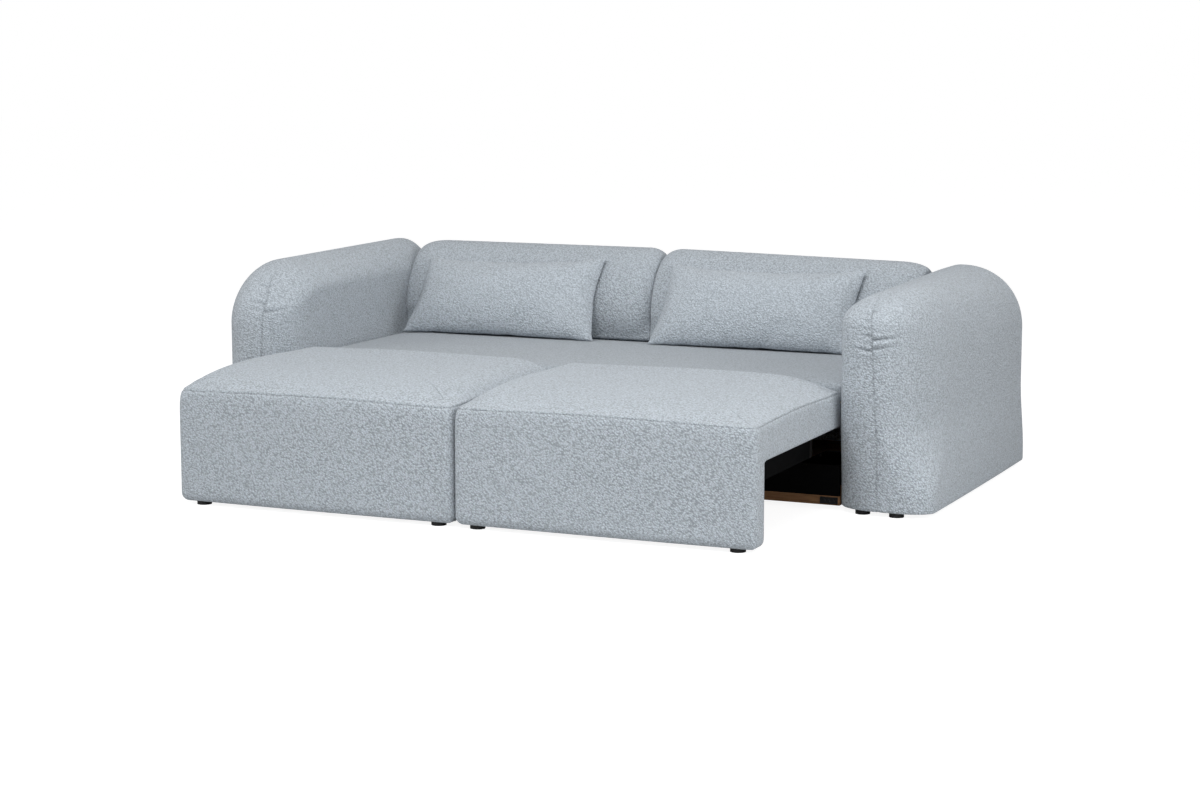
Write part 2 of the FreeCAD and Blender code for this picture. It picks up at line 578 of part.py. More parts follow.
EAR = "Sizes.arm_bar_radius + Sizes.bracket_margin"
brackets = []
pins = []
for side_name, side in SIDES:
    for number, plane in enumerate(PLANES):
        plate_near = "%s - Sizes.arm_bar_thick / 2 - Sizes.plane_gap - Sizes.plate_thick" % plane
        foot_near = (RAIL_EDGE % plane) + " - Sizes.base_rail_wide + Sizes.bracket_foot_set"
        name = "%s_swing_bracket_%d" % (side_name, number)
        brackets.append(bracket(name, side, plate_near, foot_near, plate_near + " + Sizes.plate_thick",
                                "Places.front_pivot_y - (%s)" % EAR,
                                "Sizes.swing_arm_spacing + 2 * (%s)" % EAR,
                                "(Sizes.swing_pivot_height + Sizes.arm_bar_radius + Sizes.bracket_top)",
                                [(pin_y, "Sizes.swing_pivot_height") for end, pin_y in BASE_PIVOTS]))
        for end, pin_y in BASE_PIVOTS:
            pins.append(base_pin("%s_%s_swing_pin_%d" % (side_name, end, number), side,
                                 plate_near + " - Sizes.pin_end",
                                 "%s + Sizes.arm_bar_thick / 2 + Sizes.pin_end" % plane, pin_y,
                                 "Sizes.swing_pivot_height"))
group("swing_arm_brackets", brackets)
group("swing_arm_pins", pins)
brackets = []
pins = []
for side_name, side in SIDES:
    plate_near = "Sizes.link_plane + Sizes.arm_bar_thick / 2 + Sizes.plane_gap"
    for end, pin_y in DECK_PINS:
        base_y = pin_y + " - Places.link_reach"
        name = "%s_%s_link_bracket" % (side_name, end)
        brackets.append(bracket(name, side, plate_near, plate_near,
                                (RAIL_EDGE % PLANES[0]) + " - Sizes.bracket_foot_set",
                                base_y + " - (%s)" % EAR, "2 * (%s)" % EAR,
                                "(%s + Sizes.link_bar_radius + Sizes.bracket_top)" % LINK_BASE_Z,
                                [(base_y, LINK_BASE_Z)]))
        pins.append(base_pin(name + "_pin", side,
                             "Sizes.link_plane - Sizes.arm_bar_thick / 2 - Sizes.pin_end",
                             plate_near + " + Sizes.plate_thick + Sizes.pin_end", base_y, LINK_BASE_Z))
group("deck_link_brackets", brackets)
group("deck_link_pins", pins)

# Rubber pads on the base that the folded deck comes down on
FOLDED = "Sizes.link_length * (sin((Sizes.link_start_angle + Sizes.link_turn) * 1 deg)" \
         " - sin(Sizes.link_start_angle * 1 deg))"
pads = []
for side_name, side in SIDES:
    far = RAIL_EDGE % PLANES[1]
    near = far + " - Sizes.base_rail_wide"
    for name, rail_y in CROSS_YS[1:]:
        pad_y = rail_y + " + " + FOLDED
        if name == "rear":
            pad_y += " - Sizes.rest_pad_shift"
        pads.append(box("%s_%s_rest_pad" % (side_name, name), low_x(side, near, far), pad_y,
                        "Places.base_top_z", "Sizes.base_rail_wide", "Sizes.rail_thick", "Sizes.rest_pad"))
group("deck_rest_pads", pads)

# Steel plates where the front rail meets the arms, and their screws
plates = []
screws = []
for side_name, side in SIDES:
    far = "Places.arm_in_x - Sizes.corner_plate_inset"
    near = far + " - Sizes.corner_plate"
    plates.append(box(side_name + "_corner_plate", low_x(side, near, far),
                      "Places.base_front_y - Sizes.bracket_flange", BASE_Z + " + Sizes.corner_plate_margin",
                      "Sizes.corner_plate", "Sizes.bracket_flange",
                      BASE_DEPTH + " - 2 * Sizes.corner_plate_margin"))
    for number in (1, 2, 3):
        screw_x = far + " - Sizes.corner_plate * %d / 4" % number
        screws.append(rod("%s_plate_screw_%d" % (side_name, number), Vector(0, 1, 0),
                          low_x(side, screw_x, screw_x),
                          "Places.base_front_y - Sizes.bracket_flange - Sizes.screw_head_thick",
                          BASE_Z + " + Sizes.base_rail_depth / 2", "Sizes.screw_head / 2",
                          "Sizes.screw_head_thick"))
group("corner_plates", plates)
group("corner_screws", screws)
guides = []
far = "Places.arm_in_x - Sizes.soft_clearance"
near = far + " - Sizes.guide_plate_thick"
for side_name, side in SIDES:
    guides.append(box(side_name + "_guide_plate", low_x(side, near, far),
                      "Places.base_front_y + Sizes.guide_plate_set", "Sizes.guide_plate_z",
                      "Sizes.guide_plate_thick", "Sizes.guide_plate_wide", "Sizes.guide_plate_height"))
group("side_guide_plates", guides)

# Arms: padded loaf forms over a boxed timber frame
arm_front_y = place("arm_front_y")
arm_in_x = place("arm_in_x")
arm_out_x = place("arm_out_x")
nose_run = size("arm_nose_out_run")
ARM_STEPS_FRONT = (0.0, 0.012, 0.05, 0.12, 0.22, 0.37, 0.55, 0.75, 1.0)
ARM_STEPS_BODY = (0.2, 0.55, 0.9)
ARM_STEPS_REAR = (1.0, 0.62, 0.34, 0.14, 0.04, 0.0)
SHOULDER_SHARE = 0.45


def arm_section(y):
    """The outline of an arm in X and Z at a distance along it."""
    front = y - arm_front_y
    rear = rear_y - y
    tail = swell(rear, size("arm_tail_round"))
    ahead = 1 - front / size("arm_depth")
    inner = (arm_in_x + size("arm_nose_in") * (1 - swell(front, size("arm_nose_in_run")))
             + size("arm_tail_in") * (1 - tail))
    outer = (arm_out_x - size("arm_bow") * ahead ** 2 - size("arm_nose_out") * (1 - swell(front, nose_run))
             - size("arm_tail_in") * (1 - tail))
    top = (size("arm_height") - size("arm_front_fall") * ahead
           - size("arm_nose_drop") * (1 - swell(front, size("arm_nose_drop_run")))
           - size("arm_rear_drop") * (1 - swell(rear, size("arm_rear_round"))))
    turn = min(size("arm_shoulder"), (outer - inner) * SHOULDER_SHARE)
    crown = size("arm_crown")
    return [
        (inner + FOOT, foot_z),
        (outer - FOOT, foot_z),
        corner_arc((outer - FOOT, foot_z), (outer, foot_z), (outer, foot_z + FOOT)),
        (outer, top - turn - crown),
        corner_arc((outer, top - turn - crown), (outer, top - crown), (outer - turn, top - crown)),
        (((inner + outer) / 2, top), (inner + turn, top - crown)),
        corner_arc((inner + turn, top - crown), (inner, top - crown), (inner, top - turn - crown)),
        (inner, foot_z + FOOT),
        corner_arc((inner, foot_z + FOOT), (inner, foot_z), (inner + FOOT, foot_z)),
    ]


arm_ys = [arm_front_y + nose_run * step for step in ARM_STEPS_FRONT]
body_run = size("arm_depth") - nose_run - size("arm_rear_round")
arm_ys += [arm_front_y + nose_run + body_run * step for step in ARM_STEPS_BODY]
arm_ys += [rear_y - size("arm_rear_round") * step for step in ARM_STEPS_REAR]
arm_form = Part.makeLoft([outline(arm_section(y), lambda u, v, y=y: Vector(u, y, v)) for y in arm_ys],
                         True, True)
inset = size("arm_frame_inset")
frame_low = (arm_in_x + inset, arm_front_y + size("arm_frame_front"), foot_z - PAST)
frame_high = (arm_out_x - inset, rear_y - size("arm_frame_rear"), foot_z + size("arm_frame_height"))
board_room = size("arm_frame_bar") + clear
core = block((frame_low[0], frame_low[1] + board_room, foot_z + board_room),
             (frame_high[0], frame_high[1] - board_room, frame_high[2] - board_room))
frame_ring = block(frame_low, frame_high).cut(core)


def bolt_room(box_of_hole):
    """A round channel through the padding, a little wider than the bolt hole in that box."""
    middle = box_of_hole.Center
    start = Vector(box_of_hole.XMin - PAST, middle.y, middle.z)
    return Part.makeCylinder(size("bolt_diameter") / 2 + clear, box_of_hole.XLength + 2 * PAST, start, ALONG_X)


BOLT_Z = BASE_Z + " + Sizes.base_rail_depth / 2"
bolt_ys = ["Places.base_front_y + Sizes.front_rail_wide + Sizes.bolt_end_inset",
           "(Places.base_front_y + Places.rear_rail_y) / 2", "Places.rear_rail_y - Sizes.bolt_end_inset"]
bolt_near = BASE_HALF + " - Sizes.side_rail_wide"
bolt_far = "Places.arm_in_x + Sizes.arm_frame_inset + Sizes.arm_frame_bar"
for side_name, side in SIDES:
    holes = []
    bolts = []
    for number, bolt_y in enumerate(bolt_ys):
        name = "%s_arm_bolt_%d" % (side_name, number)
        length = bolt_far + " - (" + bolt_near + ")"
        start = low_x(side, bolt_near, bolt_far)
        shank = rod(name + "_shank", ALONG_X, start, bolt_y, BOLT_Z, "Sizes.bolt_diameter / 2", length)
        head_start = low_x(side, bolt_near + " - Sizes.bolt_head_thick", bolt_near)
        head = rod(name + "_head", ALONG_X, head_start, bolt_y, BOLT_Z, "Sizes.bolt_head / 2",
                   "Sizes.bolt_head_thick")
        bolts.append(fuse(name, [shank, head]))
        holes.append(rod(name + "_hole", ALONG_X, start, bolt_y, BOLT_Z, "Sizes.bolt_diameter / 2", length))
    doc.recompute()
    form = mirrored(arm_form, side)
    for hole in holes:
        form = form.cut(bolt_room(hole.Shape.BoundBox))
    soft(side_name + "_arm_padding", form.cut(mirrored(frame_ring, side)))
    tool = fuse(side_name + "_arm_bolt_holes", holes)
    near = "Places.arm_in_x + Sizes.arm_frame_inset + Sizes.soft_clearance"
    far = "Places.arm_out_x - Sizes.arm_frame_inset - Sizes.soft_clearance"
    wide = far + " - (" + near + ")"
    start_y = "Places.arm_front_y + Sizes.arm_frame_front + Sizes.soft_clearance"
    end_y = "Places.rear_y - Sizes.arm_frame_rear - Sizes.soft_clearance"
    top = "Sizes.foot_height + Sizes.arm_frame_height - Sizes.soft_clearance - Sizes.arm_frame_bar"
    x = low_x(side, near, far)
    post_z = "Sizes.foot_height + Sizes.arm_frame_bar"
    boards = [
        box(side_name + "_arm_floor", x, start_y, BASE_Z, wide, end_y + " - (" + start_y + ")",
            "Sizes.arm_frame_bar"),
        box(side_name + "_arm_top", x, start_y, top, wide, end_y + " - (" + start_y + ")",
            "Sizes.arm_frame_bar"),
        box(side_name + "_arm_front_post", x, start_y, post_z, wide, "Sizes.arm_frame_bar",
            top + " - (" + post_z + ")"),
        box(side_name + "_arm_rear_post", x, end_y + " - Sizes.arm_frame_bar", post_z, wide,
            "Sizes.arm_frame_bar", top + " - (" + post_z + ")"),
    ]
    blank = doc.addObject("Part::Compound", side_name + "_arm_boards")
    blank.Links = boards
    node(cut(side_name + "_arm_frame_drilled", blank, tool), side_name + "_arm_frame")
    rail = side_rails[0] if side < 0 else side_rails[1]
    node(cut(side_name + "_base_side_rail_drilled", rail, tool), side_name + "_base_side_rail")
    group(side_name + "_arm_bolts", bolts)

feet = []
for side_name, side in SIDES:
    for number, (foot_x, foot_y) in enumerate((
            ("Places.arm_in_x + Sizes.arm_foot_inner", "Places.arm_front_y + Sizes.arm_foot_front"),
            ("Places.arm_in_x + Sizes.arm_foot_outer", "Places.arm_front_y + Sizes.arm_foot_front_outer"),
            ("Places.arm_in_x + Sizes.arm_foot_inner", "Places.rear_y - Sizes.arm_foot_rear"),
            ("Places.arm_in_x + Sizes.arm_foot_outer", "Places.rear_y - Sizes.arm_foot_rear"))):
        feet.append(rod("%s_arm_foot_%d" % (side_name, number), ALONG_Z, low_x(side, foot_x, foot_x), foot_y,
                        "0", "Sizes.foot_diameter / 2", "Sizes.foot_height"))
group("arm_feet", feet)

# Back: two upholstered backs over a timber frame, and a padded rear panel below them
back_front_y = place("back_front_y")
back_low = size("back_bottom")
back_rear_y = rear_y - size("back_set")
BROW_BACK = 0.38
BROW_UP = 0.67


def back_section(distance):
    """The outline of a back in Y and Z at a distance from its end."""
    full = swell(distance, size("back_end_round"))
    inset = size("back_end_in") * (1 - full)
    ridge_z = size("back_height") - size("back_end_drop") * (1 - full)
    rear = back_rear_y - inset * 0.5
    low_front = (back_front_y + inset, back_low)
    shoulder = (back_front_y + size("back_shoulder_set") + inset,
                size("back_shoulder_height") - size("back_end_drop") * 0.5 * (1 - full))
    ridge = (rear_y - size("back_ridge"), ridge_z)
    rear_turn = (rear, ridge_z - size("back_rear_round"))
    belly = (back_front_y - size("back_belly") * full + inset, size("back_belly_height"))
    brow = (shoulder[0] + (ridge[0] - shoulder[0]) * BROW_BACK,
            shoulder[1] + (ridge[1] - shoulder[1]) * BROW_UP)
    return [
        low_front,
        (rear - FOOT, back_low),
        corner_arc((rear - FOOT, back_low), (rear, back_low), (rear, back_low + FOOT)),
        rear_turn,
        corner_arc(rear_turn, (rear, ridge_z), ridge),
        (brow, shoulder),
        (belly, low_front),
    ]


back_form = loft_x(inner_x, arm_in_x - clear, size("back_end_round"), back_section)
wall = size("pocket_wall")
post_y = place("back_post_y")
back_form = back_form.cut(block((inner_x + wall, post_y - size("back_board_thick") - clear, back_low - PAST),
                                (outer_x - wall, post_y + size("back_post_thick") + clear,
                                 size("back_frame_top") + clear)))
posts = []
rails = []
boards = []
RAIL_Z = "Sizes.back_frame_top - Sizes.back_frame_bar"
near = "Sizes.module_gap / 2 + Sizes.pocket_wall + Sizes.soft_clearance"
far = "Sizes.module_width - Sizes.pocket_wall - Sizes.soft_clearance"
for side_name, side in SIDES:
    soft(side_name + "_back_cushion", mirrored(back_form, side))
    x = low_x(side, near, far)
    rails.append(box(side_name + "_back_top_rail", x, "Places.back_post_y", RAIL_Z, far + " - (" + near + ")",
                     "Sizes.back_post_thick", "Sizes.back_frame_bar"))
    boards.append(box(side_name + "_back_board", x, "Places.back_post_y - Sizes.back_board_thick",
                      "Sizes.back_bottom + Sizes.back_board_lift", far + " - (" + near + ")",
                      "Sizes.back_board_thick",
                      "Sizes.back_frame_top - Sizes.back_bottom - Sizes.back_board_lift"))
    for number, post_near in enumerate((near + " + Sizes.back_post_inset",
                                        "(Sizes.module_width - Sizes.back_post_wide) / 2",
                                        far + " - Sizes.back_post_inset - Sizes.back_post_wide")):
        posts.append(box("%s_back_post_%d" % (side_name, number),
                         low_x(side, post_near, post_near + " + Sizes.back_post_wide"), "Places.back_post_y",
                         BASE_Z, "Sizes.back_post_wide", "Sizes.back_post_thick", RAIL_Z + " - " + BASE_Z))
group("back_posts", posts)
group("back_top_rails", rails)
group("back_boards", boards)
panel_corner = size("rear_panel_corner")
panel = loft_x(clear - arm_in_x, arm_in_x - clear, panel_corner,
               front_section(-back_rear_y, size("rear_panel_thick") - back_rear_y, foot_z,
                             back_low - clear, size("rear_panel_bow"), panel_corner))
soft("rear_panel", panel.mirror(Vector(), Vector(0, 1, 0)))


# Loose pillows: lens forms with pinched corners, leaning on the backs
def pillow_section(distance):
    """The outline of a pillow across its thickness and height at a distance from its end."""
    rim = size("pillow_rim")
    full = swell(distance, size("pillow_width") / 2)
    belly = rim / 2 + size("pillow_belly") * full
    rear = rim / 2 + 0.2 + size("pillow_rear_bulge") * full
    high = (size("pillow_height") + size("pillow_flare") * (1 - full)) / 2
    return [
        (-rim / 2, -high),
        (rim / 2, -high),
        ((rear, 0.0), (rim / 2, high)),
        (-rim / 2, high),
        ((-belly - 0.2, 0.0), (-rim / 2, -high)),
    ]


pillow_half = size("pillow_width") / 2
pillow_form = loft_x(-pillow_half, pillow_half, pillow_half * 0.9, pillow_section)
lean = math.radians(size("pillow_lean"))
deck_top = size("deck_edge_height") + size("deck_crown")
pillow_z = (deck_top - size("pillow_sink")
            + (size("pillow_height") + size("pillow_flare")) / 2 * math.cos(lean))
pillow_y = place("back_front_y") - size("pillow_back_gap")
for side_name, side in SIDES:
    item = soft(side_name + "_pillow", pillow_form)
    item.Placement = Placement(Vector(side * size(side_name + "_pillow_x"), pillow_y, pillow_z),
                               Rotation(ALONG_X, -size("pillow_lean")))

doc.recompute()
for item in doc.Objects:
    if "Invalid" in item.State or "Error" in item.State:
        raise RuntimeError("%s failed: %s" % (item.Name, item.State))
for item in NODES:
    if item.Shape.isNull() or not item.Shape.isValid():
        raise RuntimeError("%s has no valid shape" % item.Label)
whole = FreeCAD.BoundBox()
for item in NODES:
    whole.add(item.Shape.BoundBox)
    item.Shape.exportStep("parts/%s.step" % item.Label)
print("%d sub-parts, %.1f x %.1f x %.1f mm" % (len(NODES), whole.XLength, whole.YLength, whole.ZLength))
print("from", whole.XMin, whole.YMin, whole.ZMin, "to", whole.XMax, whole.YMax, whole.ZMax)
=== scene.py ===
# %% [markdown]
# # A sofa bed, opened
#
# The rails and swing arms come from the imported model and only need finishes.
# Everything soft is made here: two seat modules, a deck, two backs, two arms,
# a rear panel and two loose pillows. First the frame is loaded and measured.

# %% Load the frame
import math

import bmesh
import bpy
import numpy as np
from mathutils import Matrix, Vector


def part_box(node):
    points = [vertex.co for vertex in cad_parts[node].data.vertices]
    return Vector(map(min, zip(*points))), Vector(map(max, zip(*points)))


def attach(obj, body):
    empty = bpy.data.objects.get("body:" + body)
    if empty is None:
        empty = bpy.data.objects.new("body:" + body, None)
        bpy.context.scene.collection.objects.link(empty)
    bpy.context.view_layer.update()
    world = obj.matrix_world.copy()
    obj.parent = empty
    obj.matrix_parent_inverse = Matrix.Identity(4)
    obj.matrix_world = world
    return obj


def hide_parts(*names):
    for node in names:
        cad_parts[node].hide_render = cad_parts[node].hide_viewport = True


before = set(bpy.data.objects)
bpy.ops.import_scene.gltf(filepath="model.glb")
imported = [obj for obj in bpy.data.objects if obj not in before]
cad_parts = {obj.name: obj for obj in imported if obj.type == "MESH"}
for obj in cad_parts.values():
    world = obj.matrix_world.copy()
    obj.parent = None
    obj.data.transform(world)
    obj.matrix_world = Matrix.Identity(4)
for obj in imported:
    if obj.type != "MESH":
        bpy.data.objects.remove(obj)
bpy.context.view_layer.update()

scene = bpy.context.scene


def put(name, data):
    """A new object, linked to the scene."""
    item = bpy.data.objects.new(name, data)
    scene.collection.objects.link(item)
    return item


# %% [markdown]
# ## A little shader language
#
# A finish is a graph of nodes, and node graphs are hard to read as code. One
# class wraps a socket, so that a sum can be written as a sum: each operator
# adds the Math node that does it.

# %% Write shader maths as sums
class Value:
    """A socket that can be added, taken away and multiplied like a number."""

    def __init__(self, recipe, socket):
        self.recipe = recipe
        self.socket = socket

    def join(self, operation, *terms):
        return self.recipe.node("Math", dict(enumerate(terms)), operation=operation)

    def __add__(self, other):
        return self.join("ADD", self, other)

    __radd__ = __add__

    def __sub__(self, other):
        return self.join("SUBTRACT", self, other)

    def __rsub__(self, other):
        return self.join("SUBTRACT", other, self)

    def __mul__(self, other):
        return self.join("MULTIPLY", self, other)

    def __abs__(self):
        return self.join("ABSOLUTE", self)


print("sums become Math nodes")


# %% [markdown]
# ## One recipe per material
#
# Nodes are added one after another, and the last one is the surface. One
# method sets a node's options first and then its inputs, because some options
# change the inputs.

# %% Write materials as recipes
class Recipe:
    """One material, or the world; look is the finished thing."""

    def __init__(self, name, kind="materials"):
        self.look = getattr(bpy.data, kind).new(name)
        self.look.use_nodes = True
        self.tree = self.look.node_tree
        self.tree.nodes.clear()
        self.place = self.node("TexCoord", output="Object")

    def node(self, kind, inputs=None, output=0, **options):
        item = self.tree.nodes.new("ShaderNode" + kind)
        for key, value in options.items():
            setattr(item, key, value)
        for key, value in (inputs or {}).items():
            if isinstance(value, Value):
                self.tree.links.new(value.socket, item.inputs[key])
            else:
                item.inputs[key].default_value = value
        return Value(self, item.outputs[output]) if len(item.outputs) else None

    def mix(self, factor, first, second):
        """A blend of two colours."""
        return self.node("Mix", {0: factor, 6: first, 7: second}, 2, data_type="RGBA")

    def spread(self, value, low, high):
        """The value as a share of the way from low to high, kept between 0 and 1."""
        return self.node("MapRange", {"Value": value, "From Min": low, "From Max": high}, clamp=True)

    def stretched(self, x, y, z, turned=0.0):
        """Object coordinates turned about Y, then with each axis scaled."""
        lying = self.node("Mapping", {"Vector": self.place, "Rotation": (0.0, turned, 0.0)})
        return self.node("Mapping", {"Vector": lying, "Scale": (x, y, z)})

    def noise(self, scale, detail=2.0, roughness=0.5, distortion=0.0, place=None):
        inputs = {"Vector": place or self.place, "Scale": scale, "Detail": detail,
                  "Roughness": roughness, "Distortion": distortion}
        return self.node("TexNoise", inputs, "Fac")

    def bump(self, height, strength, distance):
        return self.node("Bump", {"Height": height, "Strength": strength, "Distance": distance})

    def finish(self, **inputs):
        """The surface itself; words like base_color name its sockets."""
        named = {key.replace("_", " ").title().replace("Ior", "IOR"): value
                 for key, value in inputs.items()}
        surface = self.node("BsdfPrincipled", named)
        self.node("OutputMaterial", {"Surface": surface})
        return self.look


def shade(colour, factor):
    """A colour made lighter or darker: each channel times the factor."""
    return tuple(channel * factor for channel in colour[:3]) + (1.0,)


print("recipes ready")


# %% [markdown]
# ## Curly cloth
#
# The cover is woven from looped yarn: up close it is a field of lit loops with
# shaded pits between them. Waves would line up and look printed, so the
# distance to scattered points gives the loops, a slow drift bends their rows,
# and the rows are drawn out along a slant. One height drives colour and bump
# alike: the colour paints shade into the pits and highlights on the loops.
# Seams are an attribute of the mesh and darken the cloth with painted shade
# along their grooves, as do the tucks.

# %% Mix the cloth finishes
CLOTH = (0.452, 0.500, 0.548, 1.0)
SLANT = -0.55
DRAWN = 1.6
DRIFT = 1.3


def curly_cloth(name, loops, painted_contrast, relief, painted_light=1.0):
    """Looped yarn: loops per metre, painted contrast of lit loops and shaded pits, bump height in metres
    and a tint of painted light.

    Height is three quarters of (1 - 1.3 x distance to the nearest loop) and a quarter of fuzz.
    """
    recipe = Recipe(name)
    lie = recipe.stretched(loops / DRAWN, loops, loops, SLANT)
    drift = recipe.node("TexNoise", {"Vector": lie, "Scale": 0.8, "Detail": 1.0}, "Color")
    wander = recipe.node("VectorMath", {0: drift, 1: (DRIFT,) * 3, 2: lie}, operation="MULTIPLY_ADD")
    loop = recipe.node("TexVoronoi", {"Vector": wander, "Scale": 1.0}, "Distance", feature="F1")
    fuzz = recipe.noise(1.9, 1.0, place=wander)
    lit = recipe.spread((1.0 - loop * 1.3) * 0.75 + fuzz * 0.25, 0.12, 0.78)
    # The colour paints shade into the pits and highlights on the loops, by the loop height.
    colour = recipe.mix(lit, shade(CLOTH, painted_light * (1.0 - painted_contrast)), shade(CLOTH, painted_light * (1.0 + painted_contrast)))
    cloud = recipe.noise(6.0)
    colour = recipe.mix((cloud - 0.4) * 0.5, colour, shade(CLOTH, painted_light * 1.04))
    # Painted shade in seams and tucks: the seam attribute darkens the cloth there.
    seam = recipe.node("Attribute", output="Fac", attribute_name="seam")
    colour = recipe.mix(seam * 0.6, colour, shade(CLOTH, 0.16))
    return recipe.finish(base_color=colour, roughness=0.95, normal=recipe.bump(lit, 1.0, relief),
                         sheen_weight=0.2, sheen_roughness=0.5)


curly = curly_cloth("curly_cloth", 210.0, 0.36, 0.0030)
# The deck's cloth is a darkened copy: painted shade.
fine = curly_cloth("fine_shaded_cloth", 220.0, 0.30, 0.0015, 0.77)
# The pillows' cloth is a lightened copy: painted light.
pillow_cloth = curly_cloth("pillow_cloth", 210.0, 0.33, 0.0030, 1.03)
# The backs' cloth is a darkened copy: painted shade, as the backs lie in slightly deeper shade.
back_shaded_cloth = curly_cloth("back_shaded_cloth", 210.0, 0.36, 0.0030, 0.955)
print("cloth finishes:", curly.name, fine.name, pillow_cloth.name, back_shaded_cloth.name)


# %% [markdown]
# ## Timber
#
# The frame under the seats is sawn pine and darker sawn timber, whose brown is
# made near black: painted shade for the dark under the seats. Its grain is a
# noise drawn out along the length of the board, so one recipe serves rails
# that run across and rails that run back.

# %% Mix the timber
PINE = ((0.34, 0.19, 0.10), (0.17, 0.085, 0.04))
# Brown made near black: painted shade for the timber deep under the seats
BROWN_IN_SHADE = ((0.0070, 0.0060, 0.0052), (0.0034, 0.0029, 0.0025))
PLY = ((0.55, 0.41, 0.25), (0.42, 0.29, 0.16))
TIMBERS = {"pine_across": (*PINE, "x"), "pine_back": (*PINE, "y"), "shaded_brown_across": (*BROWN_IN_SHADE, "x"),
           "shaded_brown_back": (*BROWN_IN_SHADE, "y"), "plywood": (*PLY, "x")}
GRAIN_ACROSS, GRAIN_ALONG = 42.0, 2.2


def timber(name, pale, dark, along):
    """Sawn timber, its grain drawn out along X or Y: seven tenths rings and three tenths fibre."""
    recipe = Recipe(name)
    scales = [GRAIN_ALONG if axis == along else GRAIN_ACROSS for axis in "xyz"]
    place = recipe.stretched(*scales)
    rings = recipe.noise(1.0, 5.0, 0.62, 1.2, place)
    fibre = recipe.noise(6.0, 3.0, 0.6, 0.0, place)
    grain = recipe.spread(rings * 0.7 + fibre * 0.3, 0.36, 0.66)
    return recipe.finish(base_color=recipe.mix(grain, dark + (1.0,), pale + (1.0,)),
                         roughness=0.68 - grain * 0.12, normal=recipe.bump(grain, 0.4, 0.0006),
                         specular_ior_level=0.1)


finishes = {name: timber(name, *look) for name, look in TIMBERS.items()}
print(len(finishes), "timber finishes")


# %% [markdown]
# ## Steel, plastic and lining
#
# Powder coat, zinc and moulded plastic are even colours, only a little uneven
# in shine. The boards in front are lined with thin black cloth: two sets of
# fine waves cross in it.

# %% Mix the coated and moulded finishes
# Colour, roughness, metallic, noise scale, spread and, if not 0.3, shine
COATS = {
    "black_steel": ((0.010, 0.010, 0.011), 0.42, 0.0, 90.0, 0.25),
    "zinc": ((0.55, 0.56, 0.58), 0.36, 1.0, 60.0, 0.12),
    "glide": ((0.014, 0.014, 0.015), 0.45, 0.0, 140.0, 0.3),
    # Near black with little shine: painted shade for the rails deep under the seats
    "shade_black": ((0.0022, 0.0022, 0.0024), 0.8, 0.0, 60.0, 0.3, 0.03),
    "rubber": ((0.02, 0.02, 0.02), 0.8, 0.0, 120.0, 0.2),
}


def plain(name, colour, roughness, metallic, scale, spread, shine=0.3):
    """A coated or moulded surface: colour times 1 - spread to 1 + spread, by a fine noise."""
    recipe = Recipe(name)
    uneven = recipe.noise(scale, 4.0, 0.6)
    tone = recipe.mix(uneven, shade(colour, 1.0 - spread), shade(colour, 1.0 + spread))
    return recipe.finish(base_color=tone, roughness=roughness + (uneven - 0.5) * 0.2, metallic=metallic,
                         normal=recipe.bump(uneven, 0.12, 0.0003), specular_ior_level=shine)


def black_lining():
    """Thin black cloth stretched over a board: a wave across times a wave upwards."""
    recipe = Recipe("black_lining")
    waves = [recipe.node("TexWave", {"Vector": recipe.place, "Scale": 260.0}, bands_direction=way)
             for way in "XZ"]
    weave = waves[0] * waves[1]
    dust = recipe.noise(35.0, 3.0)
    colour = recipe.mix(weave * 0.6 + dust * 0.3, (0.001, 0.001, 0.0012, 1.0), (0.004, 0.004, 0.0045, 1.0))
    return recipe.finish(base_color=colour, roughness=0.9, normal=recipe.bump(weave, 0.3, 0.0004),
                         specular_ior_level=0.05)


finishes.update({name: plain(name, *look) for name, look in COATS.items()}, lining=black_lining())
print(len(finishes), "frame finishes in all")


# %% [markdown]
# ## Dressing the frame
#
# Each imported node keeps its shape and gets the finish of what it is made of.
# The rails under the seats lie in deep shade and look almost black, so the
# ones that show are given a near black colour, which is painted shade. Low at
# the front lies the pale pine rail.

# %% Put the finishes on the imported nodes
NODE_FINISH = {
    "pine_across": ("base_front_rail", "base_rear_rail"),
    "pine_back": ("base_long_rails", "left_base_side_rail", "right_base_side_rail"),
    "shaded_brown_across": ("seat_cross_rails", "deck_cross_rails", "back_top_rails", "back_posts"),
    # Painted shade: these rails are coloured near black
    "shade_black": ("seat_side_rails",),
    "shaded_brown_back": ("seat_arm_rails", "deck_side_rails", "deck_long_rails"),
    "plywood": ("left_seat_board", "right_seat_board", "left_front_board", "right_front_board",
                "deck_board", "back_boards", "left_arm_frame", "right_arm_frame"),
    "black_steel": ("front_swing_arms", "rear_swing_arms", "front_deck_links", "rear_deck_links",
                    "swing_arm_brackets", "deck_link_brackets", "corner_plates",
                    "module_tie_plates", "corner_screws"),
    "zinc": ("seat_pins", "swing_arm_pins", "deck_link_pins", "deck_pins", "left_arm_bolts",
             "right_arm_bolts", "side_guide_plates"),
    "glide": ("seat_feet", "arm_feet", "base_feet"),
    "rubber": ("deck_rest_pads",),
    "lining": ("base_front_boards",),
}
for finish, names in NODE_FINISH.items():
    for name in names:
        mesh = bpy.data.objects[name].data
        mesh.materials.clear()
        mesh.materials.append(finishes[finish])
print(sum(len(names) for names in NODE_FINISH.values()), "packed nodes have a finish")


# %% [markdown]
# ## Skins
#
# Every soft piece is a closed skin made of a few grids of points that meet
# edge to edge. Points that fall in the same place are joined, so the grids
# close on each other and on their own poles, and the faces turn outwards.

# %% Turn grids of points into one closed mesh
JOIN = 2e-5


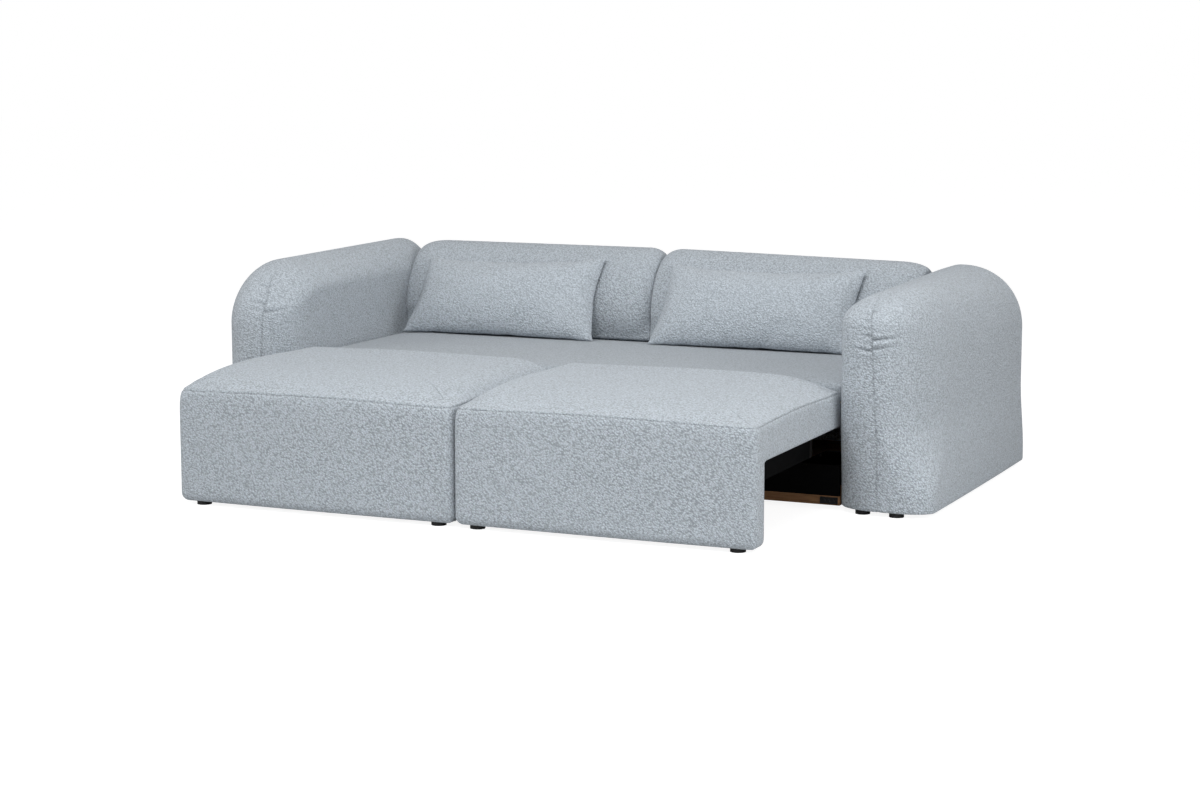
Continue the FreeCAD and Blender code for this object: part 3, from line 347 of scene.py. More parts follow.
class Skin:
    """Grids of points, with a painted seam shade for each point, that make one mesh."""

    def __init__(self, side="right"):
        """A left-hand skin is the mirror image of its numbers."""
        self.mirror = np.array([-1.0 if side == "left" else 1.0, 1.0, 1.0])
        self.points, self.seams, self.quads = [], [], []
        self.count = 0

    def add(self, points, seams=0.0, wrap=False):
        """Add a grid of rows and columns; wrap joins its last column to its first."""
        rows, columns = points.shape[:2]
        index = self.count + np.arange(rows * columns).reshape(rows, columns)
        if wrap:
            index = np.concatenate([index, index[:, :1]], axis=1)
        corners = (index[:-1, :-1], index[:-1, 1:], index[1:, 1:], index[1:, :-1])
        self.quads.append(np.stack(corners, axis=-1).reshape(-1, 4))
        self.points.append((points * self.mirror).reshape(-1, 3))
        self.seams.append(np.broadcast_to(seams, (rows, columns)).reshape(-1))
        self.count += rows * columns

    def fan(self, ring, centre):
        """Close a flat ring of points with triangles to its centre."""
        middle = np.broadcast_to(np.asarray(centre, float), ring.shape)
        self.add(np.stack([ring, middle]), wrap=True)

    def build(self, name, material, body, nodes):
        """Join the grids, make the object and say what it is."""
        points = np.concatenate(self.points)
        seams = np.concatenate(self.seams)
        keys = np.round(points / JOIN).astype(np.int64)
        _, first, where = np.unique(keys, axis=0, return_index=True, return_inverse=True)
        quads = where.reshape(-1)[np.concatenate(self.quads)]
        mesh = bpy.data.meshes.new(name)
        mesh.from_pydata(points[first].tolist(), [], faces_of(quads))
        mesh.attributes.new("seam", "FLOAT", "POINT").data.foreach_set("value", seams[first])
        turn_outwards(mesh)
        mesh.shade_smooth()
        mesh.materials.append(material)
        piece = put(name, mesh)
        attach(piece, body)
        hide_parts(*nodes)
        print(name, len(mesh.vertices), "points,", len(mesh.polygons), "faces")
        return piece


def faces_of(quads):
    """Quads as lists; one that has lost an edge at a pole becomes a triangle."""
    same = quads == np.roll(quads, -1, axis=1)
    whole = quads[~same.any(axis=1)].tolist()
    triangles = [list(dict.fromkeys(quad)) for quad in quads[same.any(axis=1)].tolist()]
    return whole + [triangle for triangle in triangles if len(triangle) == 3]


def turn_outwards(mesh):
    """Make all faces point outwards."""
    work = bmesh.new()
    work.from_mesh(mesh)
    bmesh.ops.recalc_face_normals(work, faces=work.faces)
    if work.calc_volume(signed=True) < 0:
        bmesh.ops.reverse_faces(work, faces=work.faces)
    work.to_mesh(mesh)
    work.free()


print("skins ready")


# %% [markdown]
# ## Curves that upholstery needs
#
# Foam under a tight cover has few shapes: ends that round over, soft hills and
# hollows, straight runs and quarter turns. Each is one short function of a
# distance or a share, and every cover below is put together from them.

# %% Write the curves
def swell(distance, radius):
    """How full a rounded end is: a quarter circle, root of (1 - (1 - distance / radius) squared)."""
    part = np.clip(np.asarray(distance, float) / radius, 0.0, 1.0)
    return np.sqrt(1.0 - (1.0 - part) ** 2)


def roll(distance, radius, power):
    """How far a soft edge has risen: 1 - (1 - distance / radius) to the power, from 0 to 1."""
    return 1.0 - (1.0 - np.clip(distance / radius, 0.0, 1.0)) ** power


def bell(value, width):
    """A smooth hill, 1 at zero and gone two widths away: e to the -(value / width) squared."""
    return np.exp(-(np.asarray(value) / width) ** 2)


def soft_step(value):
    """A soft S from 0 at 0 to 1 at 1: 3 times value squared less twice value cubed."""
    part = np.clip(value, 0.0, 1.0)
    return part * part * (3.0 - 2.0 * part)


def between(first, second, share):
    """The value a share of the way on: first + (second - first) x share."""
    return first + (second - first) * share


def line(start, end, count):
    """Points at equal steps on a straight line, the end left out."""
    return between(np.asarray(start), np.asarray(end), np.arange(count)[:, None] / count)


def turn(centre, radii, start, count, power=2.0):
    """A quarter turn from an angle in degrees on, the end left out; radii is one number or two.

    Cosine and sine are divided by the power-th root of the sum of their powers: 2 gives an oval.
    """
    angles = np.radians(start + 90 * np.arange(count) / count)
    cosine, sine = np.cos(angles), np.sin(angles)
    reach = (np.abs(cosine) ** power + np.abs(sine) ** power) ** (-1.0 / power)
    return np.asarray(centre) + np.stack([cosine, sine], axis=1) * reach[:, None] * np.asarray(radii)


def rounded_box(low, high, corner, across, up, turns):
    """A rectangle with rounded corners, anticlockwise from its lower left; the counts are points."""
    (left, bottom), (right, top) = low, high
    return np.concatenate([
        line((left + corner, bottom), (right - corner, bottom), across),
        turn((right - corner, bottom + corner), corner, 270, turns),
        line((right, bottom + corner), (right, top - corner), up),
        turn((right - corner, top - corner), corner, 0, turns),
        line((right - corner, top), (left + corner, top), across),
        turn((left + corner, top - corner), corner, 90, turns),
        line((left, top - corner), (left, bottom + corner), up),
        turn((left + corner, bottom + corner), corner, 180, turns),
    ])


def outward(outline):
    """Unit normals of a closed outline that runs anticlockwise: its direction turned to the right."""
    along = np.roll(outline, -1, axis=0) - np.roll(outline, 1, axis=0)
    normal = np.stack([along[:, 1], -along[:, 0]], axis=1)
    return normal / np.linalg.norm(normal, axis=1, keepdims=True)


def level(flat, height):
    """Points at a height, which is one number or one for each point."""
    return np.column_stack([flat, np.broadcast_to(height, len(flat))])


print("a soft step half way:", soft_step(0.5))


# %% [markdown]
# ## Places taken from the frame
#
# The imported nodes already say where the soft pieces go. Reading their boxes
# keeps the covers on the frame if a size changes.

# %% Read the boxes of the soft nodes
def box_of(node):
    """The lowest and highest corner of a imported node, printed as they are read."""
    low, high = (np.array(corner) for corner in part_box(node))
    print(node, np.round(low, 4), np.round(high, 4))
    return low, high


seat_low, seat_high = box_of("right_seat_pad")
front_low, front_high = box_of("right_front_pad")
arm_low, arm_high = box_of("right_arm_padding")
deck_low, deck_high = box_of("deck_pad")
back_low, back_high = box_of("right_back_cushion")
panel_low, panel_high = box_of("rear_panel")


# %% [markdown]
# ## Seat modules: the outline
#
# A module is a firm foam block: an L seen from the side, with an upright
# front and a slab. The cover is boxed: a seam runs round the top edge. One
# outline, seen from above, is enough, because every row of the skin follows it.

# %% Draw a module's outline
CORNER, TOP_CORNER = 0.026, 0.054
FLARE = 0.004


def module_outline(corner, flare):
    """The block from above: the upright front's part of it, then the rest.

    The outer side stands out by flare x a soft step across x a bell along, near the front.
    """
    left, right = front_low[0], front_high[0]
    front, rear, step = seat_low[1], seat_high[1], front_high[1]
    front_part = np.concatenate([
        line((left, step), (left, front + corner), 6),
        turn((left + corner, front + corner), corner, 180, 10),
        line((left + corner, front), (right - corner, front), 90),
        turn((right - corner, front + corner), corner, 270, 10),
        line((right, front + corner), (right, step), 6),
    ])
    rest = np.concatenate([
        line((right, step), (right, rear - corner), 62),
        turn((right - corner, rear - corner), corner, 0, 10),
        line((right - corner, rear), (left + corner, rear), 70),
        turn((left + corner, rear - corner), corner, 90, 10),
        line((left, rear - corner), (left, step), 62),
    ])
    for stretch in (front_part, rest):
        beside = soft_step((stretch[:, 0] - right + 0.10) / 0.08)
        stretch[:, 0] += flare * beside * bell(np.maximum(stretch[:, 1] - step, 0.0), 0.02)
    return front_part, rest


print("a module's outline has", [len(part) for part in module_outline(CORNER, FLARE)], "points")


# %% [markdown]
# ## Seat modules: the crown
#
# The top panel rises from the seam to a gentle crown: one height times a roll
# for each edge. The sides of the two modules roll differently in the
# photograph, so each has its own set.

# %% Raise the crown
REAR_ROLL, REAR_POWER = 0.061, 2.2
# Crown height, inner roll and its power, outer roll and its power, front roll
LEFT_TOP = (0.059, 0.165, 2.3, 0.1125, 5.0, 0.085)
RIGHT_TOP = (0.0545, 0.080, 2.4, 0.258, 2.5, 0.118)
WAVES = 0.0012


def seat_crown(flat, top):
    """Height of a seat top above its seam: the crown times the rolls at the sides, front and rear."""
    crown, inner_roll, inner_power, outer_roll, outer_power, front_roll = top
    x, y = flat[..., 0], flat[..., 1]
    sides = (roll(x - seat_low[0], inner_roll, inner_power)
             * roll(seat_high[0] - x, outer_roll, outer_power))
    front = 1.0 - np.exp(-np.maximum(y - seat_low[1], 0.0) / front_roll)
    rear = roll(seat_high[1] - y, REAR_ROLL, REAR_POWER)
    waves = WAVES * np.sin(9.0 * x + 1.0) * np.sin(7.0 * y + 2.0)
    return (crown + waves) * sides * front * rear


middle_of_seat = (seat_low[:2] + seat_high[:2]) / 2
print("crowns:", [round(float(seat_crown(middle_of_seat, top)), 4) for top in (LEFT_TOP, RIGHT_TOP)])


# %% [markdown]
# ## Seat modules: wall and top
#
# The outline is carried up the wall, over the seam and in to the middle of
# the top, so the seam is exactly a row of the grid. There the cloth is drawn
# in, most at the front corners, and the top panel starts with a small welt.

# %% Carry the outline up the wall and over the top
SEAM_Z, SEAM_ARCH = 0.376, 0.007
SEAM_DEPTH = 0.0030
SEAM_DRAW, CORNER_DRAW, CORNER_REACH, DRAW_FADE = 0.005, 0.006, 0.05, 0.018
BOW = 0.004
UNDER_ROUND = 0.008
WELT, WELT_PLACE, WELT_WIDTH = 0.0016, 0.007, 0.004
TOP_STEP = 0.002
EDGE_FADE, ARCH_FADE = 0.03, 0.08
CROWN_LINE = 0.40
# Near the seam: height from it, depth as a share, painted shade
SEAM_LEVELS = ((-0.012, 0.0, 0.0), (-0.006, 0.0, 0.0), (-0.0030, 0.3, 0.0),
               (-0.0012, 0.8, 0.25), (0.0, 1.0, 0.60), (0.0012, 0.8, 0.25))


def column(values):
    """A list as one upright column, to be spread along every point of an outline."""
    return np.asarray(values, float)[:, None]


def module_wall(loop, count, bow, draw, arch):
    """The wall from the underside to the seam, and the painted shade of each point's seam.

    A point of the outline moves out by bow less the underside's rounding, the seam's depth and
    draw x e to the (height - seam) / fade; its height gains arch in step with its place on the wall.
    """
    rounded = np.ones(len(loop))
    rounded[:count + 1] = 0.0
    rounded[count + 1:count + 4] = (0.3, 0.6, 0.85)
    rounded[-3:] = (0.85, 0.6, 0.3)
    under = seat_low[2]
    arc = np.radians([0, 22, 45, 68, 90])
    wall = np.linspace(under + 0.02, SEAM_Z - 0.02, 9)
    gaps, depths, seam_shade_levels = np.array(SEAM_LEVELS).T
    z = column(np.concatenate([under + UNDER_ROUND * (1 - np.cos(arc)), wall, SEAM_Z + gaps]))
    plain_rows = len(arc) + len(wall)
    inset = column(np.concatenate([UNDER_ROUND * (1 - np.sin(arc)), np.zeros(len(wall) + len(gaps))]))
    depth = column(np.concatenate([np.zeros(plain_rows), depths]))
    # Painted shade along the seam groove
    dark = column(np.concatenate([np.zeros(plain_rows), seam_shade_levels]))
    out = bow - inset * rounded - SEAM_DEPTH * depth - draw * np.exp((z - SEAM_Z) / DRAW_FADE)
    flat = loop + outward(loop) * out[..., None]
    return np.dstack([flat, z + arch * ((z - under) / (SEAM_Z - under))]), dark + 0.0 * out


def module_top(loop, bow, draw, arch, top):
    """The top panel from the welt in to the middle.

    Height is seam + arch + crown, less what the crown already has at the edge, which fades inwards
    as e to the -gap / fade.
    """
    rounder = np.concatenate(module_outline(TOP_CORNER, 0.0))
    base = loop + outward(loop) * (bow - draw)[:, None]
    at_edge = seat_crown(base, top)
    gap = column([0.0035, 0.006, 0.009, 0.013, 0.018, 0.024, 0.032, 0.042])
    rim = (base + (rounder - loop) * soft_step(gap / EDGE_FADE)[..., None]
           - outward(rounder) * gap[..., None])
    rise = seat_crown(rim, top) - at_edge * np.exp(-gap / EDGE_FADE)
    welt = WELT * bell(gap - WELT_PLACE, WELT_WIDTH)
    rim = np.dstack([rim, SEAM_Z + TOP_STEP + arch + rise + welt])

    low, high = seat_low[:2], seat_high[:2]
    middle = level(np.clip(loop[:, 0], low[0] + CROWN_LINE, high[0] - CROWN_LINE), (low[1] + high[1]) / 2)
    start = rim[-1, :, :2]
    share = (np.linspace(0, 1, 40)[1:] ** 1.1)[:, None, None]
    panel = start + (middle - start) * share
    inwards = np.linalg.norm(panel - start, axis=2)
    rise = seat_crown(panel, top) - at_edge * np.exp(-(gap[-1] + inwards) / EDGE_FADE)
    panel = np.dstack([panel, SEAM_Z + TOP_STEP + arch * np.exp(-inwards / ARCH_FADE) + rise])
    return np.concatenate([rim, panel])


print("the seam lies at", SEAM_Z, "and rises", SEAM_ARCH, "in the middle of each side")


# %% [markdown]
# ## Seat modules: the upright front
#
# Under the slab only the front goes on down. It ends a little below its foam,
# where the cover sags round the lower edge, and stands on the front glides.
# With its inner face, its foot and the slab's underside the skin is closed.

# %% Shape a seat module
SAG = 0.004
FOOT_ROUND = 0.027
INNER_POINTS = 58
INNER_FOOT = 0.15


def upright_front(loop, bow, count, first):
    """Rings from the underside down to the foot, whose edge turns in on a quarter circle.

    count is how many points of the outline belong to the front, and first is the wall's lowest row.
    """
    inner_x = np.linspace(front_high[0], front_low[0], INNER_POINTS + 2)[1:-1]
    ring = np.concatenate([loop[:count + 1], level(inner_x, front_high[1] - 0.0004)])
    normal = np.concatenate([outward(loop)[:count + 1], np.tile([0.0, 1.0], (INNER_POINTS, 1))])
    ring_bow = np.concatenate([bow[:count + 1], np.zeros(INNER_POINTS)])
    turned_in = np.concatenate([np.ones(count + 1), np.full(INNER_POINTS, INNER_FOOT)])
    bottom = front_low[2] - SAG
    arc = np.radians([15, 32, 50, 70, 90])
    straight = np.linspace(seat_low[2], bottom + FOOT_ROUND, 18)
    z = column(np.concatenate([straight, bottom + FOOT_ROUND * (1 - np.sin(arc))]))
    inset = column(np.concatenate([np.zeros(len(straight)), FOOT_ROUND * (1 - np.cos(arc))]))
    out = ring_bow - inset * turned_in
    rings = np.dstack([ring + normal * out[..., None], z + 0.0 * out])
    rings[0, :count + 1] = first[:count + 1]
    return rings


def seat_module(side, top):
    """One module cover as a closed skin; arch and draw are worked out for each outline point.

    The seam arches with the square of the larger sine of the place across and the place back.
    """
    front_part, rest = module_outline(CORNER, FLARE)
    loop = np.concatenate([front_part, rest])
    low, high = seat_low[:2], seat_high[:2]
    along = (loop[:, 0] - front_low[0]) / (front_high[0] - front_low[0])
    bow = BOW * np.where(loop[:, 1] < front_high[1], np.sin(np.pi * along), 0.0)
    arch = SEAM_ARCH * np.sin(np.pi * (loop - low) / (high - low)).max(axis=1) ** 2
    to_side = np.minimum(loop[:, 0] - low[0], high[0] - loop[:, 0])
    draw = SEAM_DRAW + CORNER_DRAW * bell(to_side, CORNER_REACH) * bell(loop[:, 1] - low[1], CORNER_REACH)

    wall, dark = module_wall(loop, len(front_part), bow, draw, arch)
    crown = module_top(loop, bow, draw, arch, top)
    rings = upright_front(loop, bow, len(front_part), wall[0])
    skin = Skin(side)
    skin.add(np.concatenate([wall, crown]), np.concatenate([dark, np.zeros(crown.shape[:2])]), wrap=True)
    skin.add(rings, wrap=True)
    skin.fan(rings[-1], [*(front_low[:2] + front_high[:2]) / 2, rings[-1, 0, 2]])
    count = len(front_part)
    underside = np.concatenate([wall[0, count:], rings[0, :1], rings[0, count + 1:][::-1]])
    skin.fan(underside, [*(low + high) / 2, seat_low[2]])
    skin.build(side + "_seat_cover", curly, "seat_unit", [side + "_seat_pad", side + "_front_pad"])


seat_module("left", LEFT_TOP)
seat_module("right", RIGHT_TOP)


# %% [markdown]
# ## Arms: the outline
#
# An arm is a soft loaf: upright walls, a rounded nose, squarer at the foot,
# and a dome along the top. The left arm is stuffed fuller at the nose than the
# right one, so each has its own numbers.

# %% Draw an arm's outline
# A nose is how far a front corner is rounded, across and back
INNER_FOOT_NOSE, FOOT_BOW, FOOT_REAR = (0.180, 0.100), 0.012, 0.032
BODY_REAR = 0.096
INNER_REAR = 0.020
RIGHT_ARM = {
    "foot_nose": (0.130, 0.068), "inner_nose": (0.134, 0.079), "outer_nose": (0.163, 0.358),
    "bow": 0.037, "nose_height": 0.602, "ridge_heights": (0.713, 0.717), "fullness": 2.12,
    "seam": (1.161, 1.129, 1.117),
}
LEFT_ARM = {
    "foot_nose": (0.140, 0.170), "inner_nose": (0.150, 0.200), "outer_nose": (0.145, 0.260),
    "bow": 0.022, "nose_height": 0.500, "ridge_heights": (0.712, 0.739), "fullness": 1.94,
    "seam": (1.130, 1.108, 1.140),
}


def arm_outline(inner_nose, outer_nose, bow, rear_turn):
    """The arm from above: inner wall, nose, outer wall and rear, anticlockwise.

    The outer wall lies inside the box by bow x (1 - share) squared, share 0 in front and 1 behind.
    """
    (inner, front), (outer, rear) = arm_low[:2], arm_high[:2]
    share = np.arange(46) / 46
    outer_y = front + outer_nose[1] + (rear - rear_turn - front - outer_nose[1]) * share
    return np.concatenate([
        line((inner, rear - INNER_REAR), (inner, front + inner_nose[1]), 60),
        turn((inner + inner_nose[0], front + inner_nose[1]), inner_nose, 180, 46, 2.25),
        turn((outer - bow - outer_nose[0], front + outer_nose[1]), outer_nose, 270, 80),
        np.column_stack([outer - bow * (1 - share) ** 2, outer_y]),
        turn((outer - rear_turn, rear - rear_turn), rear_turn, 0, 14),
        line((outer - rear_turn, rear), (inner + INNER_REAR, rear), 14),
        turn((inner + INNER_REAR, rear - INNER_REAR), INNER_REAR, 90, 14),
    ])


foot_outline = arm_outline(INNER_FOOT_NOSE, RIGHT_ARM["foot_nose"], FOOT_BOW, FOOT_REAR)
print("an arm's outline has", len(foot_outline), "points")


# %% [markdown]
# ## Arms: seam and tucks
#
# The cloth is closed by one seam up the nose, and the spare cloth round the
# dome is taken up in short tucks on both sides of it. Both press the surface
# in along its own normal, and beside each tuck the cloth swells a little. Both
# also get painted shade along their grooves.

# %% Press in the seam and the tucks
# Each tuck: height on the nose, side of the seam (1 is the outer side), length and depth
RIGHT_ARM["tucks"] = (
    (0.567, 1, 0.095, 1.0), (0.538, 1, 0.080, 0.8), (0.531, -1, 0.078, 1.0), (0.552, -1, 0.030, 0.4),
    (0.578, -1, 0.034, 0.6), (0.622, -1, 0.034, 0.6), (0.645, -1, 0.034, 0.7), (0.655, 1, 0.030, 0.7),
    (0.600, -1, 0.050, 0.3))
LEFT_ARM["tucks"] = (
    (0.581, 1, 0.080, 1.0), (0.553, -1, 0.095, 1.0), (0.556, 1, 0.070, 0.4), (0.525, 1, 0.060, 0.35),
    (0.640, -1, 0.040, 0.7), (0.636, 1, 0.050, 0.6))
TUCK_DEPTH, TUCK_WIDTH, TUCK_SHADE, TUCK_RISE = 0.0065, 0.0034, 0.0030, 0.13
TUCK_SWELL, SWELL_PLACE, SWELL_WIDTH = 0.45, 0.013, 0.008
NOSE_SEAM_DEPTH, NOSE_SEAM_WIDTH, NOSE_SEAM_SHADE = 0.0022, 0.0032, 0.0020
SEAM_TOP = 0.690


def pressed(rows, beside, tucks):
    """The rows with seam and tucks pressed in, and the painted shade of each point.

    beside is the distance from the seam. The seam is a bell across it; a tuck is a bell about a line
    that rises away from the seam, faded towards its end by (1 - distance / length) to the power 0.6.
    """
    height = rows[:, :, 2]
    seam_end = np.clip((SEAM_TOP - height) / 0.03, 0, 1)
    press = NOSE_SEAM_DEPTH * bell(beside, NOSE_SEAM_WIDTH) * seam_end
    # Painted shade along the nose seam and in each tuck
    dark = 0.5 * bell(beside, NOSE_SEAM_SHADE) * seam_end
    for z, way, length, depth in tucks:
        reach = beside * way
        fade = depth * np.clip(reach / 0.004, 0, 1) * np.clip(1 - reach / length, 0, 1) ** 0.6
        off = height - z - TUCK_RISE * np.abs(reach)
        swells = bell(off - SWELL_PLACE, SWELL_WIDTH) + bell(off + SWELL_PLACE, SWELL_WIDTH)
        press = press + TUCK_DEPTH * fade * (bell(off, TUCK_WIDTH) - TUCK_SWELL * swells)
        dark = np.maximum(dark, 0.7 * fade * bell(off, TUCK_SHADE))
    along_row = np.roll(rows, -1, axis=1) - np.roll(rows, 1, axis=1)
    facing = np.cross(along_row, np.gradient(rows, axis=0))
    facing /= np.maximum(np.linalg.norm(facing, axis=2, keepdims=True), 1e-9)
    if facing[20, 10, 0] > 0:
        facing = -facing
    return rows - facing * press[:, :, None], dark


print(len(RIGHT_ARM["tucks"]), "tucks on the right arm,", len(LEFT_ARM["tucks"]), "on the left")


# %% [markdown]
# ## Arms: the loaf
#
# The outline is carried up the wall. From the wall's top each point turns
# over on a quarter oval to a ridge line along the middle. The wall is lower at
# the nose and at the rear, so that the dome comes round there as well.

# %% Shape an arm
FOOT_Z, BODY_Z = 0.05, 0.32
SOFT_FOOT = 0.010
WALL_IN, WALL_OUT, WALL_REAR = 0.617, 0.500, 0.495
NOSE_REACH, REAR_REACH = 0.13, 0.12
RIDGE_IN_FRONT, RIDGE_AT_REAR = 0.280, 0.100
RIDGE_LEAN_FRONT, RIDGE_LEAN_REAR = 0.033, -0.060
SEAM_HEIGHTS = (0.60, 0.70)
SLIDE = 0.16


def arm(side, shape):
    """One arm cover as a closed skin.

    A point of the dome is ridge + (outline - ridge) x cosine, at wall + (ridge - wall) x sine, both
    divided by the root of the sum of their powers, which makes a fuller or flatter oval.
    """
    foot = arm_outline(INNER_FOOT_NOSE, shape["foot_nose"], FOOT_BOW, FOOT_REAR)
    body = arm_outline(shape["inner_nose"], shape["outer_nose"], shape["bow"], BODY_REAR)
    (inner, front, low_z), (outer, rear) = arm_low, arm_high[:2]
    x, y = body.T
    around = np.concatenate([[0.0], np.cumsum(np.linalg.norm(np.diff(body, axis=0), axis=1))])
    total = around[-1] + np.linalg.norm(body[0] - body[-1])
    seam_at = int(np.argmin(np.where(y < front + 0.05, np.abs(x - shape["seam"][1]), 9.0)))
    apart = (around - around[seam_at] + total / 2) % total - total / 2

    wall = between(WALL_IN, WALL_OUT, soft_step((x - inner) / (outer - inner)))
    wall = between(wall, shape["nose_height"], bell(y - front, NOSE_REACH))
    wall = between(wall, WALL_REAR, bell(rear - y, REAR_REACH))
    ridge_y = np.clip(y, front + RIDGE_IN_FRONT, rear - RIDGE_AT_REAR)
    back_share = (ridge_y - front) / (rear - front)
    lean = between(RIDGE_LEAN_FRONT, RIDGE_LEAN_REAR, back_share)
    ridge = np.column_stack([(inner + outer) / 2 + lean, ridge_y])
    ridge_z = between(*shape["ridge_heights"], back_share)

    def ring_at(height, reach=1.0):
        """The outline at given heights, slid round the nose so that one column follows the seam."""
        ring = between(foot, body, soft_step((height - FOOT_Z) / (BODY_Z - FOOT_Z))[:, None])
        seam_x = np.interp(height[seam_at], (low_z, *SEAM_HEIGHTS), shape["seam"])
        seam_x = ridge[seam_at, 0] + (seam_x - ridge[seam_at, 0]) / max(reach, 0.45)
        place = (around + (seam_x - ring[seam_at, 0]) * bell(apart, SLIDE)) % total
        closed = np.append(around, total)
        ring = np.concatenate([ring, ring[:1]])
        return np.column_stack([np.interp(place, closed, ring[:, 0]), np.interp(place, closed, ring[:, 1])])

    rows = []
    for angle in np.radians([90, 65, 40, 18, 0]):
        height = np.full(len(body), low_z + SOFT_FOOT * (1 - np.sin(angle)))
        rows.append(level(ring_at(height) - outward(body) * SOFT_FOOT * (1 - np.cos(angle)), height))
    for share in np.concatenate([np.linspace(0, 0.80, 26)[1:], np.linspace(0.80, 1.0, 36)[1:]]):
        height = between(low_z + SOFT_FOOT, wall, share)
        rows.append(level(ring_at(height), height))
    power = shape["fullness"]
    for angle in np.radians(np.linspace(0, 90, 58)[1:]):
        sine, cosine = math.sin(angle), max(math.cos(angle), 0.0)
        reach = (sine ** power + cosine ** power) ** (-1.0 / power)
        height = between(wall, ridge_z, sine * reach)
        rows.append(level(between(ridge, ring_at(height, cosine * reach), cosine * reach), height))

    rows, dark = pressed(np.array(rows), apart, shape["tucks"])
    skin = Skin(side)
    skin.add(rows, dark, wrap=True)
    skin.fan(rows[0], [(inner + outer) / 2, (front + rear) / 2, low_z])
    skin.build(side + "_arm_cover", curly, "base", [side + "_arm_padding"])


arm("right", RIGHT_ARM)
arm("left", LEFT_ARM)


# %% [markdown]
# ## Deck
#
# The long cushion behind the seats has a smoother cloth, because a sheet goes
# over it, and a darker one, which is painted shade. It has walls, a rolled edge
# and a slightly raised top.

# %% Shape the deck
DECK_CORNER, DECK_EDGE = 0.030, 0.383
DECK_FOOT, DECK_BULGE = 0.008, 0.002
DECK_ROUND, DECK_ROUND_REACH = 0.016, 0.030
DECK_RISE, DECK_ROLL = 0.016, 0.09
DECK_STEP = 0.014


def deck():
    """The deck cover: round x swell(gap) + rise x (1 - e to the -gap / roll) lifts its top."""
    low, high = deck_low, deck_high
    across, back = (int((high[axis] - low[axis] - 2 * DECK_CORNER) / DECK_STEP) for axis in (0, 1))
    loop = rounded_box(low[:2], high[:2], DECK_CORNER, across, back, 8)
    normal = outward(loop)
    foot_z = low[2] + DECK_FOOT
    rows = [level(loop - normal * DECK_FOOT * (1 - np.cos(angle)), low[2] + DECK_FOOT * (1 - np.sin(angle)))
            for angle in np.radians([90, 60, 30, 0])]
    rows += [level(loop + normal * DECK_BULGE * np.sin(np.pi * share), between(foot_z, DECK_EDGE, share))
             for share in np.linspace(0, 1, 8)[1:]]
    half = (high[1] - low[1]) / 2
    middle = level(np.clip(loop[:, 0], low[0] + half, high[0] - half), low[1] + half)
    for share in np.linspace(0, 1, 46)[1:] ** 1.6:
        flat = between(loop, middle, share)
        gap = np.minimum(flat - low[:2], high[:2] - flat).min(axis=1)
        edge = DECK_ROUND * swell(gap, DECK_ROUND_REACH)
        rows.append(level(flat, DECK_EDGE + edge + DECK_RISE * (1.0 - np.exp(-gap / DECK_ROLL))))
    skin = Skin()
    skin.add(np.array(rows), wrap=True)
    skin.fan(rows[0], [*(low[:2] + high[:2]) / 2, low[2]])
    skin.build("deck_cover", fine, "deck", ["deck_pad"])


deck()


# %% [markdown]
# ## Rear panel
#
# A thin upholstered board closes the back under the back cushions. The
# photograph doesn't show it, so it is a plain pad that bows out a little.

# %% Shape the rear panel
PANEL_CORNER, PANEL_EDGE, PANEL_BOW, PANEL_LINE = 0.014, 0.010, 0.003, 0.19


def rear_panel():
    """A thin upright pad: a quarter circle round its edge, then bow x sine of a quarter turn."""
    low, high = panel_low, panel_high
    loop = rounded_box(low[[0, 2]], high[[0, 2]], PANEL_CORNER, 120, 24, 6)
    half = (high[2] - low[2]) / 2
    middle = level(np.clip(loop[:, 0], low[0] + PANEL_LINE, high[0] - PANEL_LINE), low[2] + half)
    face = high[1] - PANEL_BOW
    rows = [level(loop, low[1])]
    for angle in np.radians([0, 30, 60, 90]):
        flat = loop - outward(loop) * PANEL_EDGE * (1 - np.cos(angle))
        rows.append(level(flat, face - PANEL_EDGE * (1 - np.sin(angle))))
    start = rows[-1][:, :2]
    rows += [level(between(start, middle, share), face + PANEL_BOW * np.sin(np.pi / 2 * share))
             for share in np.linspace(0, 1, 16)[1:]]
    upright = np.array(rows)[:, :, [0, 2, 1]]
    skin = Skin()
    skin.add(upright, wrap=True)
    skin.fan(upright[0], [0.0, low[1], low[2] + half])
    skin.build("rear_panel_cover", curly, "base", ["rear_panel"])


rear_panel()


# %% [markdown]
# ## Backs
#
# Each back is a long bolster. Its side view is a closed curve through a few
# points: belly, shoulder, ridge and rounded rear. It is carried along the
# width and draws in on a quarter circle near each end. The right one hangs a
# little towards the arm, as it does in the photograph.

# %% Shape a back
BACK_FOOT = 0.404
BACK_PROFILE = ((0.672, BACK_FOOT), (0.648, 0.430), (0.636, 0.490), (0.646, 0.555), (0.672, 0.618),
                (0.712, 0.676), (0.765, 0.719), (0.820, 0.736), (0.868, 0.727), (0.905, 0.694),
                (0.922, 0.640), (0.926, 0.560), (0.926, 0.460), (0.922, 0.412), (0.905, BACK_FOOT),
                (0.800, BACK_FOOT))
BACK_CORE = (0.790, 0.560)
INNER_ROUND, OUTER_ROUND = 0.068, 0.100
INNER_DRAW, OUTER_DRAW = 0.25, 0.17
BACK_REACH = 0.0015
BELLY, BELLY_Z = 0.004, 0.50
RIGHT_DROOP = 0.018


def smooth_loop(corners, count):
    """A closed curve through points, each stretch a cubic that meets the next without a kink."""
    corners = np.array(corners)
    before, after, beyond = (np.roll(corners, shift, axis=0) for shift in (1, -1, -2))
    share = np.linspace(0, 1, count, endpoint=False)[:, None, None]
    curve = 0.5 * (2 * corners + (after - before) * share
                   + (2 * before - 5 * corners + 4 * after - beyond) * share ** 2
                   + (3 * corners - before - 3 * after + beyond) * share ** 3)
    return np.swapaxes(curve, 0, 1).reshape(-1, 2)


